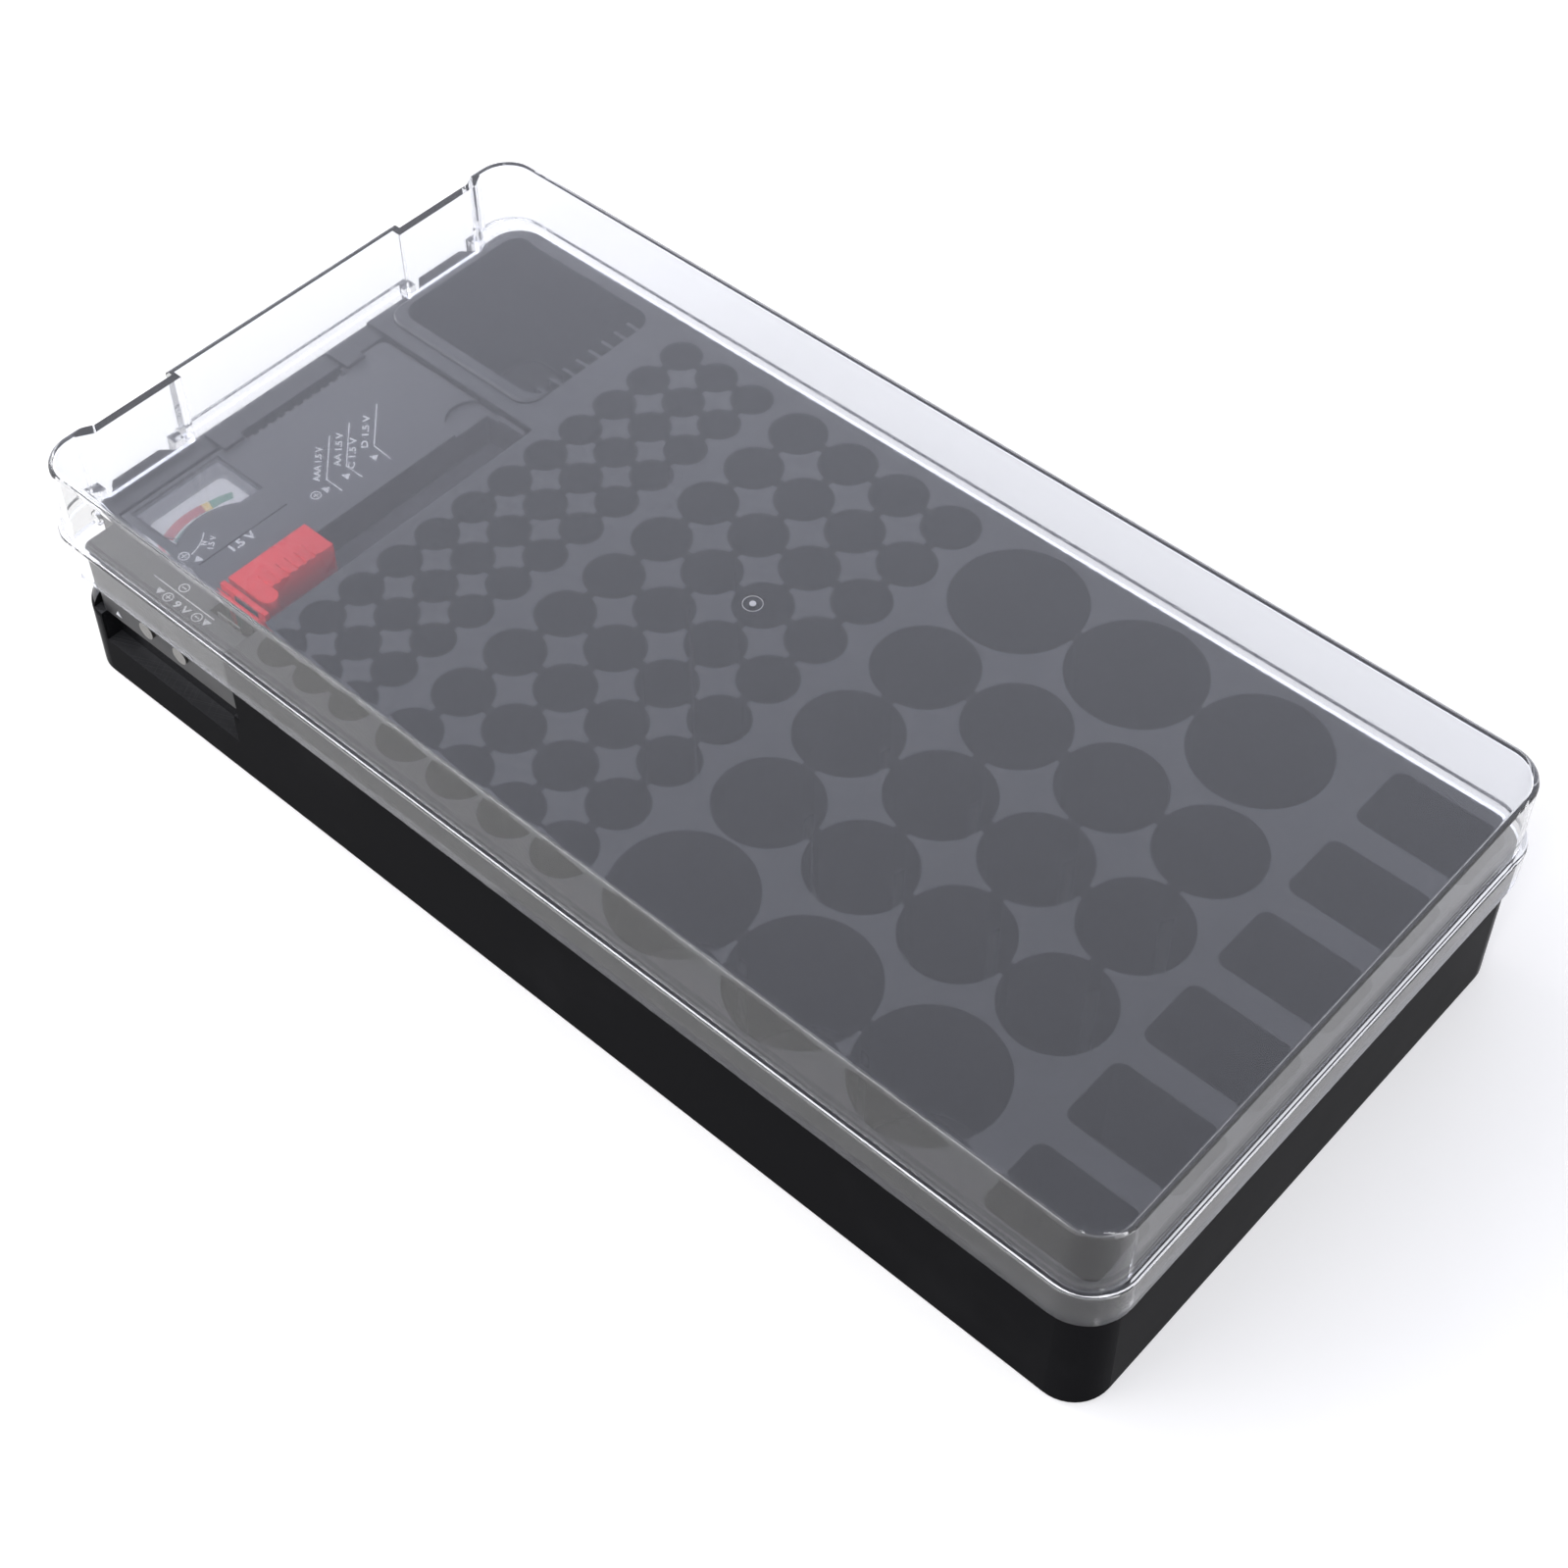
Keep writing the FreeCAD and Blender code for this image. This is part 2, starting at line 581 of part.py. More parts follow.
def make_clips(tray):
    """Two clips that stand on the left wall and reach over the tester."""
    for name, start in (("near_clip", "clip_near"), ("far_clip", "clip_far")):
        low = f"tester_y + {start}"
        high = f"tester_y + {start} + clip_wide"
        post = new_sketch(tray, f"{name}_post", "wall_top - root")
        block(post, "clip_inset", "bed_left", low, high)
        pad(tray, f"{name}_stand", post, "wall_drop + root")
        hook = new_sketch(tray, f"{name}_hook", "bed_floor + tester_tall + fit_gap")
        block(hook, "bed_left - root", "tester_x + clip_reach", low, high)
        pad(tray, f"{name}_reach", hook, "tray_tall - bed_floor - tester_tall - fit_gap")


def make_tray():
    """The black moulding that holds every cell."""
    tray = new_body("tray")
    base = new_sketch(tray, "tray_outline", "0")
    round_block(base, "0 - draft_out", "tray_long + draft_out", "0 - half - draft_out",
                "half + draft_out", "tray_corner")
    pad(tray, "tray_block", base, "tray_tall", "0 - tray_draft")
    DOC.recompute()
    top = size("tray_tall")
    round_edges(tray, "outer_rounding", "edge_round",
                lambda edge: at_level(edge, 0) or at_level(edge, top))
    foot = new_sketch(tray, "foot_outline", "0")
    round_block(foot, "foot_rim", "tray_long - foot_rim", "foot_rim - half", "half - foot_rim",
                "tray_corner")
    pocket(tray, "foot_recess", foot, "foot_tall", up=True)
    make_bin(tray)
    make_tester_bed(tray)
    make_clips(tray)
    make_hinge_lugs(tray)
    cut = tray.newObject("PartDesign::Boolean", "cell_pockets")
    cut.Type = "Cut"
    cut.setObjects(make_fields())
    tray.Tip = cut
    place(tray)
    return tray


def make_fields():
    """The spaces of all the cells, which are cut out of the tray together."""
    fields = []
    for kind, slot in (("aaa", "thin_slot"), ("aa", "thin_slot"), ("c", "wide_slot")):
        fields.append(cell_field(
            kind, kind, f"{kind}_first", f"0 - ({kind}_rows - 1) / 2 * {kind}_pitch",
            f"{kind}_columns", f"{kind}_rows", slot))
    fields.append(cell_field("d_near", "d", "d_first", "0 - d_row", "d_columns", "1", "wide_slot"))
    fields.append(cell_field("d_far", "d", "d_first", "d_row", "d_columns", "1", "wide_slot"))
    nine = new_body("nine_volt_field")
    nine.AllowCompound = True
    outline = new_sketch(nine, "nine_outline", "tray_floor")
    round_block(outline, "nine_left", "nine_left + nine_x", "0 - nine_half", "nine_y - nine_half",
                "nine_corner")
    slot = pad(nine, "nine_slot", outline, "pocket_deep + over_top")
    repeat(nine, "nine_slots", slot, along_y=("nine_rows", "nine_pitch"))
    fields.append(nine)
    return fields


def make_bin(tray):
    """The open compartment with its raised rim and the ribs on its right wall."""
    rim = new_sketch(tray, "bin_rim_outline", "tray_tall")
    round_block(rim, "bin_land - bin_rim_end", "bin_right", "bin_near - bin_rim", "bin_far",
                "bin_corner")
    pad(tray, "bin_rim_band", rim, "bin_rim_tall")
    DOC.recompute()
    top = size("tray_tall + bin_rim_tall")
    round_edges(tray, "bin_rim_rounding", "bin_rim_tall - fit_gap", lambda edge: at_level(edge, top))
    bin_outline = new_sketch(tray, "bin_outline", "tray_tall + bin_rim_tall")
    round_block(bin_outline, "bin_land", "bin_right", "bin_near", "bin_far", "bin_corner")
    pocket(tray, "bin", bin_outline, "pocket_deep + bin_rim_tall")
    rib = new_sketch(tray, "rib_outline", "tray_floor")
    block(rib, "bin_right - rib_long", "bin_right + root", "bin_near + bin_corner - rib_thick",
          "bin_near + bin_corner")
    rib_pad = pad(tray, "rib", rib, "pocket_deep - root")
    repeat(tray, "ribs", rib_pad, along_y=("rib_count", "rib_pitch"))


def make_hinge_lugs(tray):
    """Two hinge lugs at the left end, each with a knuckle and two stub pins."""
    outline = new_sketch(tray, "lug_outline", "axis_z")
    polygon(outline, [("root", "lug_near"), ("0", "lug_near"),
                      ("0 - lug_out", "lug_near + lug_bevel"),
                      ("0 - lug_out", "lug_far - lug_bevel"), ("0", "lug_far"),
                      ("root", "lug_far")])
    lug = pad(tray, "lug", outline, "lug_top - axis_z")
    knuckle = new_sketch(tray, "knuckle_round", "0 - lug_far", "XZ_Plane")
    disc(knuckle, "0 - axis_out", "axis_z", "knuckle * 2")
    barrel = pad(tray, "knuckle_barrel", knuckle, "lug_wide")
    pin = new_sketch(tray, "pin_round", "0 - lug_far - pin_long", "XZ_Plane")
    disc(pin, "0 - axis_out", "axis_z", "pin_dia")
    pins = pad(tray, "hinge_pins", pin, "lug_wide + 2 * pin_long")
    mirror(tray, "other_lug", [lug, barrel, pins])


def make_lid():
    """The clear moulded lid with its step, hinge wells and hinge ears."""
    lid = new_body("lid")
    skirt = new_sketch(lid, "skirt_outline", "skirt_low")
    round_block(skirt, "lid_left", "lid_right", "0 - lid_half", "lid_half", "lid_corner")
    pad(lid, "skirt", skirt, "step_top - skirt_low")
    DOC.recompute()
    step = size("step_top")
    round_edges(lid, "step_rounding", "step_round", lambda edge: at_level(edge, step))
    wall = new_sketch(lid, "wall_outline", "step_top - lid_lap")
    round_block(wall, "lid_left + lid_wall", "lid_right - lid_wall", "lid_wall - lid_half",
                "lid_half - lid_wall", "lid_corner - lid_wall")
    pad(lid, "box_wall", wall, "lid_top - step_top + lid_lap", "0 - lid_draft")
    DOC.recompute()
    top = size("lid_top")
    round_edges(lid, "top_rounding", "lid_round", lambda edge: at_level(edge, top))
    inner = new_sketch(lid, "skirt_inside", "skirt_low")
    round_block(inner, "lid_left + lid_wall", "lid_right - lid_wall", "lid_wall - lid_half",
                "lid_half - lid_wall", "lid_corner - lid_wall")
    pocket(lid, "skirt_hollow", inner, "step_low - skirt_low", up=True)
    inside = new_sketch(lid, "box_inside", "step_low")
    round_block(inside, "lid_left + 2 * lid_wall", "lid_right - 2 * lid_wall",
                "2 * lid_wall - lid_half", "lid_half - 2 * lid_wall", "lid_corner - 2 * lid_wall")
    pocket(lid, "box_hollow", inside, "lid_ceiling - step_low", up=True, taper="0 - lid_draft")
    ceiling = size("lid_ceiling")
    round_edges(lid, "ceiling_rounding", "lid_round - lid_wall",
                lambda edge: at_level(edge, ceiling))
    make_wells(lid)
    make_ears(lid)
    place(lid)
    return lid


def well_corners(grow, mouth):
    """Corners of a hinge well from its mouth inwards, grown outwards by a wall."""
    back = f"well_back + {grow}"
    near = f"well_near - {grow}"
    far = f"well_far + {grow}"
    return [(mouth, near), (back, near), (back, f"{far} - well_slope"),
            (f"{back} - well_deep / 2", far), (mouth, far)]


def make_wells(lid):
    """Two wells in the end wall that leave room for the hinge lugs."""
    outside = new_sketch(lid, "well_outside", "step_low")
    polygon(outside, well_corners("lid_wall", "lid_left + 2 * lid_wall - root / 2"))
    wall = pad(lid, "well_wall", outside, "lid_ceiling - step_low + lid_plate / 2")
    mirror(lid, "other_well_wall", [wall])
    inside = new_sketch(lid, "well_inside", "skirt_low")
    polygon(inside, well_corners("0", "lid_left - root"))
    hollow = pocket(lid, "well_hollow", inside, "lid_top - skirt_low", up=True)
    mirror(lid, "other_well_hollow", [hollow])


def make_ears(lid):
    """An ear on each side of each lug, bored for the lug's stub pins."""
    ears = []
    for name, edge in (("far", "well_far"), ("near", "well_near + ear_thick")):
        arm = new_sketch(lid, f"{name}_ear_arm", f"0 - ({edge})", "XZ_Plane")
        block(arm, "lid_left", "0 - axis_out + ear_radius - fit_gap", "axis_z", "step_top - root")
        ears.append(pad(lid, f"{name}_ear", arm, "ear_thick"))
        tip = new_sketch(lid, f"{name}_ear_round", f"0 - ({edge})", "XZ_Plane")
        disc(tip, "0 - axis_out", "axis_z", "ear_radius * 2")
        ears.append(pad(lid, f"{name}_ear_tip", tip, "ear_thick"))
    mirror(lid, "other_ears", ears)
    bore = new_sketch(lid, "pin_bore_round", "0 - well_far - pin_fit", "XZ_Plane")
    disc(bore, "0 - axis_out", "axis_z", "pin_dia + 2 * pin_fit")
    hole = pocket(lid, "pin_bore", bore, "well_wide + 2 * pin_fit", up=True)
    mirror(lid, "other_pin_bore", [hole])


def make_upper_housing():
    """The tester's top shell: channel, meter window, ribbed grip and screw bosses."""
    shell = new_body("tester_upper_housing")
    outline = new_sketch(shell, "top_outline", "tester_split")
    round_block(outline, "0", "tester_wide", "0", "tester_long", "tester_corner")
    pad(shell, "top_block", outline, "tester_tall - tester_split")
    top = size("tester_tall")
    round_edges(shell, "top_edge", "tester_edge", lambda edge: at_level(edge, top))
    hollow = new_sketch(shell, "hollow_outline", "tester_split")
    round_block(hollow, "shell", "tester_wide - shell", "shell", "tester_long - shell",
                "tester_corner - shell")
    pocket(shell, "hollow", hollow, "plate_low - tester_split", up=True)
    bosses = new_sketch(shell, "boss_rounds", "shell")
    for x in ("boss_inset", "tester_wide - boss_inset"):
        for y in ("boss_inset", "tester_long - boss_inset"):
            disc(bosses, x, y, "boss_dia")
    pad(shell, "bosses", bosses, "plate_low - shell + shell / 2")
    pilots = new_sketch(shell, "pilot_rounds", "shell")
    for x in ("boss_inset", "tester_wide - boss_inset"):
        for y in ("boss_inset", "tester_long - boss_inset"):
            disc(pilots, x, y, "screw_dia")
    pocket(shell, "pilots", pilots, "screw_long - shell + screw_flat", up=True)
    trough = new_sketch(shell, "trough_outline", "channel_low - shell")
    block(trough, "channel_left - shell", "tester_wide - shell / 2", "channel_near - shell",
          "tester_long - shell / 2")
    pad(shell, "trough", trough, "channel_deep + shell / 2")
    channel = new_sketch(shell, "channel_outline", "tester_tall")
    block(channel, "channel_left", "tester_wide + over_top", "channel_near", "channel_far")
    pocket(shell, "channel", channel, "channel_deep")
    slot = new_sketch(shell, "slot_outline", "channel_low")
    block(slot, "slot_left", "slot_left + slot_wide", "stem_near - slider_gap",
          "stem_far + slider_travel + slider_gap")
    pocket(shell, "slot", slot, "shell")
    grip = new_sketch(shell, "grip_outline", "tester_tall")
    block(grip, "0 - over_top", "grip_deep", "grip_near", "grip_near + grip_long")
    pocket(shell, "grip", grip, "tester_tall - tester_split")
    grip_wall = new_sketch(shell, "grip_wall_outline", "tester_split")
    block(grip_wall, "grip_deep", "grip_deep + shell", "grip_near - shell",
          "grip_near + grip_long + shell")
    pad(shell, "grip_wall", grip_wall, "tester_tall - tester_split - tester_edge")
    rib = new_sketch(shell, "grip_rib_outline", "tester_split")
    block(rib, "grip_deep / 2", "grip_deep + root", "grip_near + grip_rib",
          "grip_near + 2 * grip_rib")
    rib_pad = pad(shell, "grip_rib", rib, "tester_tall - tester_split - tester_edge")
    repeat(shell, "grip_ribs", rib_pad, along_y=("grip_ribs", "grip_pitch"))
    dish = new_sketch(shell, "dish_round", "tester_tall")
    disc(dish, "channel_left - root", "tester_long - dish_far", "dish_dia")
    pocket(shell, "dish", dish, "dish_deep")
    groove = new_sketch(shell, "groove_outline", "tester_tall")
    block(groove, "groove_x", "groove_x + groove_wide", "window_near", "window_far")
    pocket(shell, "groove", groove, "groove_deep")
    pocket(shell, "window_rebate", window_outline(shell, "rebate_outline", "tester_tall", "0"),
           "tester_tall - seat_top")
    pocket(shell, "window_hole", window_outline(shell, "hole_outline", "seat_top", "window_seat"),
           "seat_top - plate_low + root")
    place_in_tester(shell)
    return shell


def window_outline(body, name, level, inset):
    """Three straight sides and a round one that runs about the needle pivot."""
    sketch = new_sketch(body, name, level)
    left, right, near, far, radius = [size(text) for text in (
        f"window_left + {inset}", f"window_right - {inset}", f"window_near + {inset}",
        f"window_far - {inset}", f"window_arc + {inset}")]
    pivot = FreeCAD.Vector(size("pivot_x"), size("pivot_y"), 0)
    high = pivot.y + math.sqrt(radius ** 2 - (pivot.x - right) ** 2)
    low = pivot.x - math.sqrt(radius ** 2 - (pivot.y - near) ** 2)
    places = [FreeCAD.Vector(x, y, 0) for x, y in (
        (low, near), (left, near), (left, far), (right, far), (right, high))]
    for start, end in zip(places, places[1:]):
        sketch.addGeometry(Part.LineSegment(start, end))
    circle = Part.Circle(pivot, FreeCAD.Vector(0, 0, 1), radius)
    first = math.atan2(high - pivot.y, right - pivot.x)
    last = math.atan2(near - pivot.y, low - pivot.x) + 2 * math.pi
    arc = sketch.addGeometry(Part.ArcOfCircle(circle, first, last))
    for side in range(3):
        sketch.addConstraint(Sketcher.Constraint("Coincident", side, 2, side + 1, 1))
    sketch.addConstraint(Sketcher.Constraint("Coincident", 3, 2, arc, 1))
    sketch.addConstraint(Sketcher.Constraint("Coincident", arc, 2, 0, 1))
    for kind, side in (("Horizontal", 0), ("Vertical", 1), ("Horizontal", 2), ("Vertical", 3)):
        sketch.addConstraint(Sketcher.Constraint(kind, side))
    hold(sketch, "DistanceX", 1, 1, f"window_left + {inset}")
    hold(sketch, "DistanceY", 1, 1, f"window_near + {inset}")
    hold(sketch, "DistanceX", 3, 1, f"window_right - {inset}")
    hold(sketch, "DistanceY", 3, 1, f"window_far - {inset}")
    hold(sketch, "DistanceX", arc, 3, "pivot_x")
    hold(sketch, "DistanceY", arc, 3, "pivot_y")
    number = sketch.addConstraint(Sketcher.Constraint("Radius", arc, radius))
    bind(sketch, f"Constraints[{number}]", f"window_arc + {inset}")
    return sketch


def make_lower_housing():
    """The tester's bottom shell, an open tub with four countersunk screw holes."""
    tub = new_body("tester_lower_housing")
    outline = new_sketch(tub, "tub_outline", "0")
    round_block(outline, "0", "tester_wide", "0", "tester_long", "tester_corner")
    pad(tub, "tub_block", outline, "tester_split")
    hollow = new_sketch(tub, "tub_hollow_outline", "tester_split")
    round_block(hollow, "shell", "tester_wide - shell", "shell", "tester_long - shell",
                "tester_corner - shell")
    pocket(tub, "tub_hollow", hollow, "tester_split - shell")
    for name, diameter, depth in (("screw_holes", "screw_dia + screw_fit", "shell"),
                                  ("screw_seats", "screw_head + screw_fit", "screw_flat")):
        rounds = new_sketch(tub, f"{name}_rounds", "0")
        for x in ("boss_inset", "tester_wide - boss_inset"):
            for y in ("boss_inset", "tester_long - boss_inset"):
                disc(rounds, x, y, diameter)
        pocket(tub, name, rounds, depth, up=True)
    grip = new_sketch(tub, "tub_grip_outline", "tester_split")
    block(grip, "0 - over_top", "grip_deep / 2", "grip_near", "grip_near + grip_long")
    pocket(tub, "tub_grip", grip, "tester_split - shell")
    grip_wall = new_sketch(tub, "tub_grip_wall_outline", "shell / 2")
    block(grip_wall, "grip_deep / 2", "grip_deep / 2 + shell", "grip_near - shell",
          "grip_near + grip_long + shell")
    pad(tub, "tub_grip_wall", grip_wall, "tester_split - shell / 2")
    place_in_tester(tub)
    return tub


def make_window_and_dial():
    """The clear meter window and the dial under it."""
    window = new_body("meter_window")
    pad(window, "window_plate", window_outline(window, "window_outline", "seat_top", "window_fit"),
        "window_thick")
    place_in_tester(window)
    dial = new_body("meter_dial")
    outline = new_sketch(dial, "dial_outline", "dial_low")
    block(outline, "dial_left", "dial_left + dial_wide", "dial_near", "dial_near + dial_long")
    pad(dial, "dial_plate", outline, "dial_thick")
    hole = disc(new_sketch(dial, "dial_hole_round", "dial_top"), "pivot_x", "pivot_y", "dial_hole")
    pocket(dial, "dial_hole", hole, "dial_thick")
    place_in_tester(dial)


def on_pivot(body):
    """Put a body that is drawn about the needle pivot where the pivot is."""
    place(body, "case_shift + tester_x + pivot_x", "tester_y + pivot_y", "bed_floor")


def make_movement():
    """The moving-coil movement: needle, staff, coil, magnet and its two bridges."""
    needle = new_body("meter_needle")
    blade = new_sketch(needle, "blade_outline", "needle_low")
    polygon(blade, [
        ("0 - needle_long * cos(needle_rest) ", "0 - needle_long * sin(needle_rest)"),
        ("needle_wide * sin(needle_rest)", "0 - needle_wide * cos(needle_rest)"),
        ("needle_tail * cos(needle_rest)", "needle_tail * sin(needle_rest)"),
        ("0 - needle_wide * sin(needle_rest)", "needle_wide * cos(needle_rest)")])
    pad(needle, "blade", blade, "needle_thick")
    hub = disc(new_sketch(needle, "hub_round", "needle_low"), "0", "0", "needle_hub")
    pad(needle, "hub", hub, "needle_thick")
    on_pivot(needle)
    staff = new_body("needle_staff")
    rod = disc(new_sketch(staff, "staff_round", "lower_bridge_low"), "0", "0", "staff_dia")
    pad(staff, "staff", rod, "needle_low - lower_bridge_low")
    on_pivot(staff)
    coil = new_body("moving_coil")
    winding = new_sketch(coil, "coil_outline", "coil_low")
    block(winding, "0 - coil_wide / 2", "coil_wide / 2", "0 - coil_deep / 2", "coil_deep / 2")
    pad(coil, "coil_block", winding, "coil_tall")
    window = new_sketch(coil, "coil_window_outline", "0 - coil_deep", "XZ_Plane")
    block(window, "coil_wire - coil_wide / 2", "coil_wide / 2 - coil_wire", "coil_low + coil_wire",
          "coil_top - coil_wire")
    pocket(coil, "coil_window", window, "2 * coil_deep", up=True)
    bore = disc(new_sketch(coil, "coil_bore_round", "coil_top"), "0", "0", "staff_dia")
    pocket(coil, "coil_bore", bore, "coil_tall")
    on_pivot(coil)
    magnet = new_body("meter_magnet")
    ring = new_sketch(magnet, "magnet_outline", "shell")
    block(ring, "0 - magnet_out / 2", "magnet_out / 2", "0 - magnet_out / 2", "magnet_out / 2")
    pad(magnet, "magnet_block", ring, "dial_low - shell")
    gap = new_sketch(magnet, "magnet_gap_outline", "dial_low")
    block(gap, "magnet_wall - magnet_out / 2", "magnet_out / 2 - magnet_wall",
          "magnet_wall - magnet_out / 2", "magnet_out / 2 - magnet_wall")
    pocket(magnet, "magnet_gap", gap, "dial_low - shell")
    on_pivot(magnet)
    for name in ("lower_bridge", "upper_bridge"):
        bridge = new_body(name)
        strip = new_sketch(bridge, f"{name}_outline", f"{name}_low")
        block(strip, "magnet_wall - magnet_out / 2", "magnet_out / 2 - magnet_wall",
              "0 - bridge_wide / 2", "bridge_wide / 2")
        pad(bridge, f"{name}_strip", strip, "bridge_thick")
        bearing = new_sketch(bridge, f"{name}_bore_round", f"{name}_low")
        disc(bearing, "0", "0", "staff_dia + 2 * staff_fit")
        pocket(bridge, f"{name}_bore", bearing, "bridge_thick", up=True)
        on_pivot(bridge)


def make_slider():
    """The red slider with its ridges, thumb lobe, end flange, stem and foot."""
    slider = new_body("slider")
    inner = "channel_left + slider_gap"
    cap = new_sketch(slider, "cap_outline", "slider_skirt")
    block(cap, "slider_left", "slider_right", "lobe_near", "block_far")
    pad(slider, "cap", cap, "slider_top - slider_skirt")
    keel = new_sketch(slider, "keel_outline", "channel_low + fit_gap")
    block(keel, inner, "slider_right", "lobe_near", "block_far")
    pad(slider, "keel", keel, "slider_skirt - channel_low")
    lobe = new_sketch(slider, "lobe_outline", "channel_low + slider_gap + lobe_long")
    block(lobe, "slider_right - root", "tester_wide - lobe_long", "lobe_near", "lobe_far")
    pad(slider, "lobe", lobe, "slider_top - channel_low - slider_gap - lobe_long")
    tip = new_sketch(slider, "lobe_round", "channel_low + slider_gap + lobe_long")
    disc(tip, "tester_wide - lobe_long", "(lobe_near + lobe_far) / 2", "lobe_long")
    pad(slider, "lobe_tip", tip, "slider_top - channel_low - slider_gap - lobe_long")
    neck = new_sketch(slider, "neck_outline", "channel_low + fit_gap")
    block(neck, inner, "slider_right - lobe_long / 2", "slider_near + flange_thick / 2",
          "lobe_near + root")
    pad(slider, "neck", neck, "channel_deep")
    flange = new_sketch(slider, "flange_outline", "channel_low + fit_gap")
    block(flange, inner, "tester_wide - slider_gap", "slider_near", "slider_near + flange_thick")
    pad(slider, "flange", flange, "slider_top - channel_low - fit_gap")
    brim = new_sketch(slider, "brim_outline", "slider_skirt")
    block(brim, "slider_left", "channel_left + root", "slider_near", "slider_near + flange_thick")
    pad(slider, "brim", brim, "slider_top - slider_skirt")
    stem = new_sketch(slider, "stem_outline", "foot_top - root")
    block(stem, "slot_left + slider_gap", "slot_left + slot_wide - slider_gap", "stem_near",
          "stem_far")
    pad(slider, "stem", stem, "channel_low - foot_top + root + root")
    foot = new_sketch(slider, "foot_outline", "foot_low")
    block(foot, "channel_mid - foot_wide / 2", "channel_mid + foot_wide / 2", "stem_near",
          "stem_far")
    pad(slider, "foot", foot, "foot_deep")
    ridge = new_sketch(slider, "ridge_outline", "slider_top - ridge_tall")
    block(ridge, "(slider_left + slider_right) / 2", "slider_right", "lobe_far",
          "lobe_far + ridge_pitch / 2")
    ridge_pad = pad(slider, "ridge", ridge, "ridge_tall * 2")
    repeat(slider, "ridges", ridge_pad, along_y=("ridge_count", "ridge_pitch"))
    place_in_tester(slider)


def make_contacts():
    """The sheet contacts: one on the slider, one fixed, and two nine volt studs."""
    plate = new_body("slider_contact")
    face = new_sketch(plate, "slider_contact_outline", "channel_low + slider_gap")
    block(face, "channel_mid - contact_wide / 2", "channel_mid + contact_wide / 2",
          "slider_near - contact_thick", "slider_near")
    pad(plate, "slider_contact_plate", face, "channel_deep + contact_over")
    place_in_tester(plate)
    fixed = new_body("fixed_contact")
    wall = new_sketch(fixed, "fixed_contact_outline", "channel_low")
    block(wall, "channel_mid - contact_wide / 2", "channel_mid + contact_wide / 2",
          "channel_near", "channel_near + contact_thick")
    pad(fixed, "fixed_contact_plate", wall, "channel_deep + contact_over")
    sole = new_sketch(fixed, "fixed_contact_sole_outline", "channel_low")
    block(sole, "channel_mid - contact_wide / 2", "channel_mid + contact_wide / 2",
          "channel_near", "channel_near + contact_long")
    pad(fixed, "fixed_contact_sole", sole, "contact_thick")
    place_in_tester(fixed)
    for name, x in (("nine_volt_positive_stud", "stud_x"),
                    ("nine_volt_negative_stud", "stud_x + stud_pitch")):
        stud = new_body(name)
        cap = disc(new_sketch(stud, f"{name}_round", "0", "XZ_Plane"), x, "stud_z", "stud_dia")
        pad(stud, f"{name}_cap", cap, "stud_out")
        place_in_tester(stud)


def make_spring():
    """The slider's pull spring, closed coils drawn as a ridged tube."""
    spring = new_body("slider_spring")
    outline = new_sketch(spring, "spring_outline", "0")
    pitch = "(stem_near - spring_near) / spring_turns"
    bore = "spring_dia / 2 - 2 * spring_wire"
    corners = [(bore, "spring_near")]
    for turn in range(int(size("spring_turns"))):
        corners.append(("spring_dia / 2 - spring_wire", f"spring_near + {pitch} * {turn}"))
        corners.append(("spring_dia / 2", f"spring_near + {pitch} * ({turn} + 1 / 2)"))
    corners.append(("spring_dia / 2 - spring_wire", "stem_near"))
    corners.append((bore, "stem_near"))
    polygon(outline, corners)
    coil = spring.newObject("PartDesign::Revolution", "spring_coils")
    coil.Profile = outline
    coil.ReferenceAxis = (outline, ["V_Axis"])
    spring.Tip = coil
    place(spring, "case_shift + tester_x + channel_mid", "tester_y", "bed_floor + spring_z")


def make_fixings():
    """The load resistor and the four housing screws."""
    resistor = new_body("load_resistor")
    tube = new_sketch(resistor, "resistor_round", "0 - resistor_y", "XZ_Plane")
    disc(tube, "resistor_x", "shell + resistor_dia / 2", "resistor_dia")
    pad(resistor, "resistor_tube", tube, "resistor_long", down=True)
    place_in_tester(resistor)
    screws = new_body("housing_screws")
    screws.AllowCompound = True
    for name, diameter, length in (("heads", "screw_head", "screw_flat"),
                                   ("shanks", "screw_dia", "screw_long")):
        rounds = new_sketch(screws, f"{name}_rounds", "0")
        for x in ("boss_inset", "tester_wide - boss_inset"):
            for y in ("boss_inset", "tester_long - boss_inset"):
                disc(rounds, x, y, diameter)
        pad(screws, name, rounds, length)
    place_in_tester(screws)


fill_sheet()
make_tray()
make_lid()
make_upper_housing()
make_lower_housing()
make_window_and_dial()
make_movement()
make_slider()
make_contacts()
make_spring()
make_fixings()

DOC.recompute()
for item in DOC.Objects:
    if "Invalid" in item.State or "Error" in item.State:
        raise ValueError(f"{item.Label} failed: {item.State}")

os.makedirs("parts", exist_ok=True)
for body in DOC.findObjects("PartDesign::Body"):
    if body.Label.endswith("field"):
        continue
    if body.Shape.isNull() or not body.Shape.isValid():
        raise ValueError(f"{body.Label} has no sound shape")
    body.Shape.exportStep(os.path.join("parts", body.Label + ".step"))
    box = body.Shape.BoundBox
    print(body.Label, len(body.Shape.Solids), round(body.Shape.Volume, 1), box)
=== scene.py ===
"""Looks of a battery storage case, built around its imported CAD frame.

A black tray with a pocket for each cell, and a cell tester clipped into it, lies under
a hinged clear lid. Sizes in the classes are millimetres and every mesh is in metres.
"""

from __future__ import annotations

import json
import logging
import math
from dataclasses import dataclass, field
from enum import Enum

import bmesh
import bpy
from mathutils import Matrix, Vector


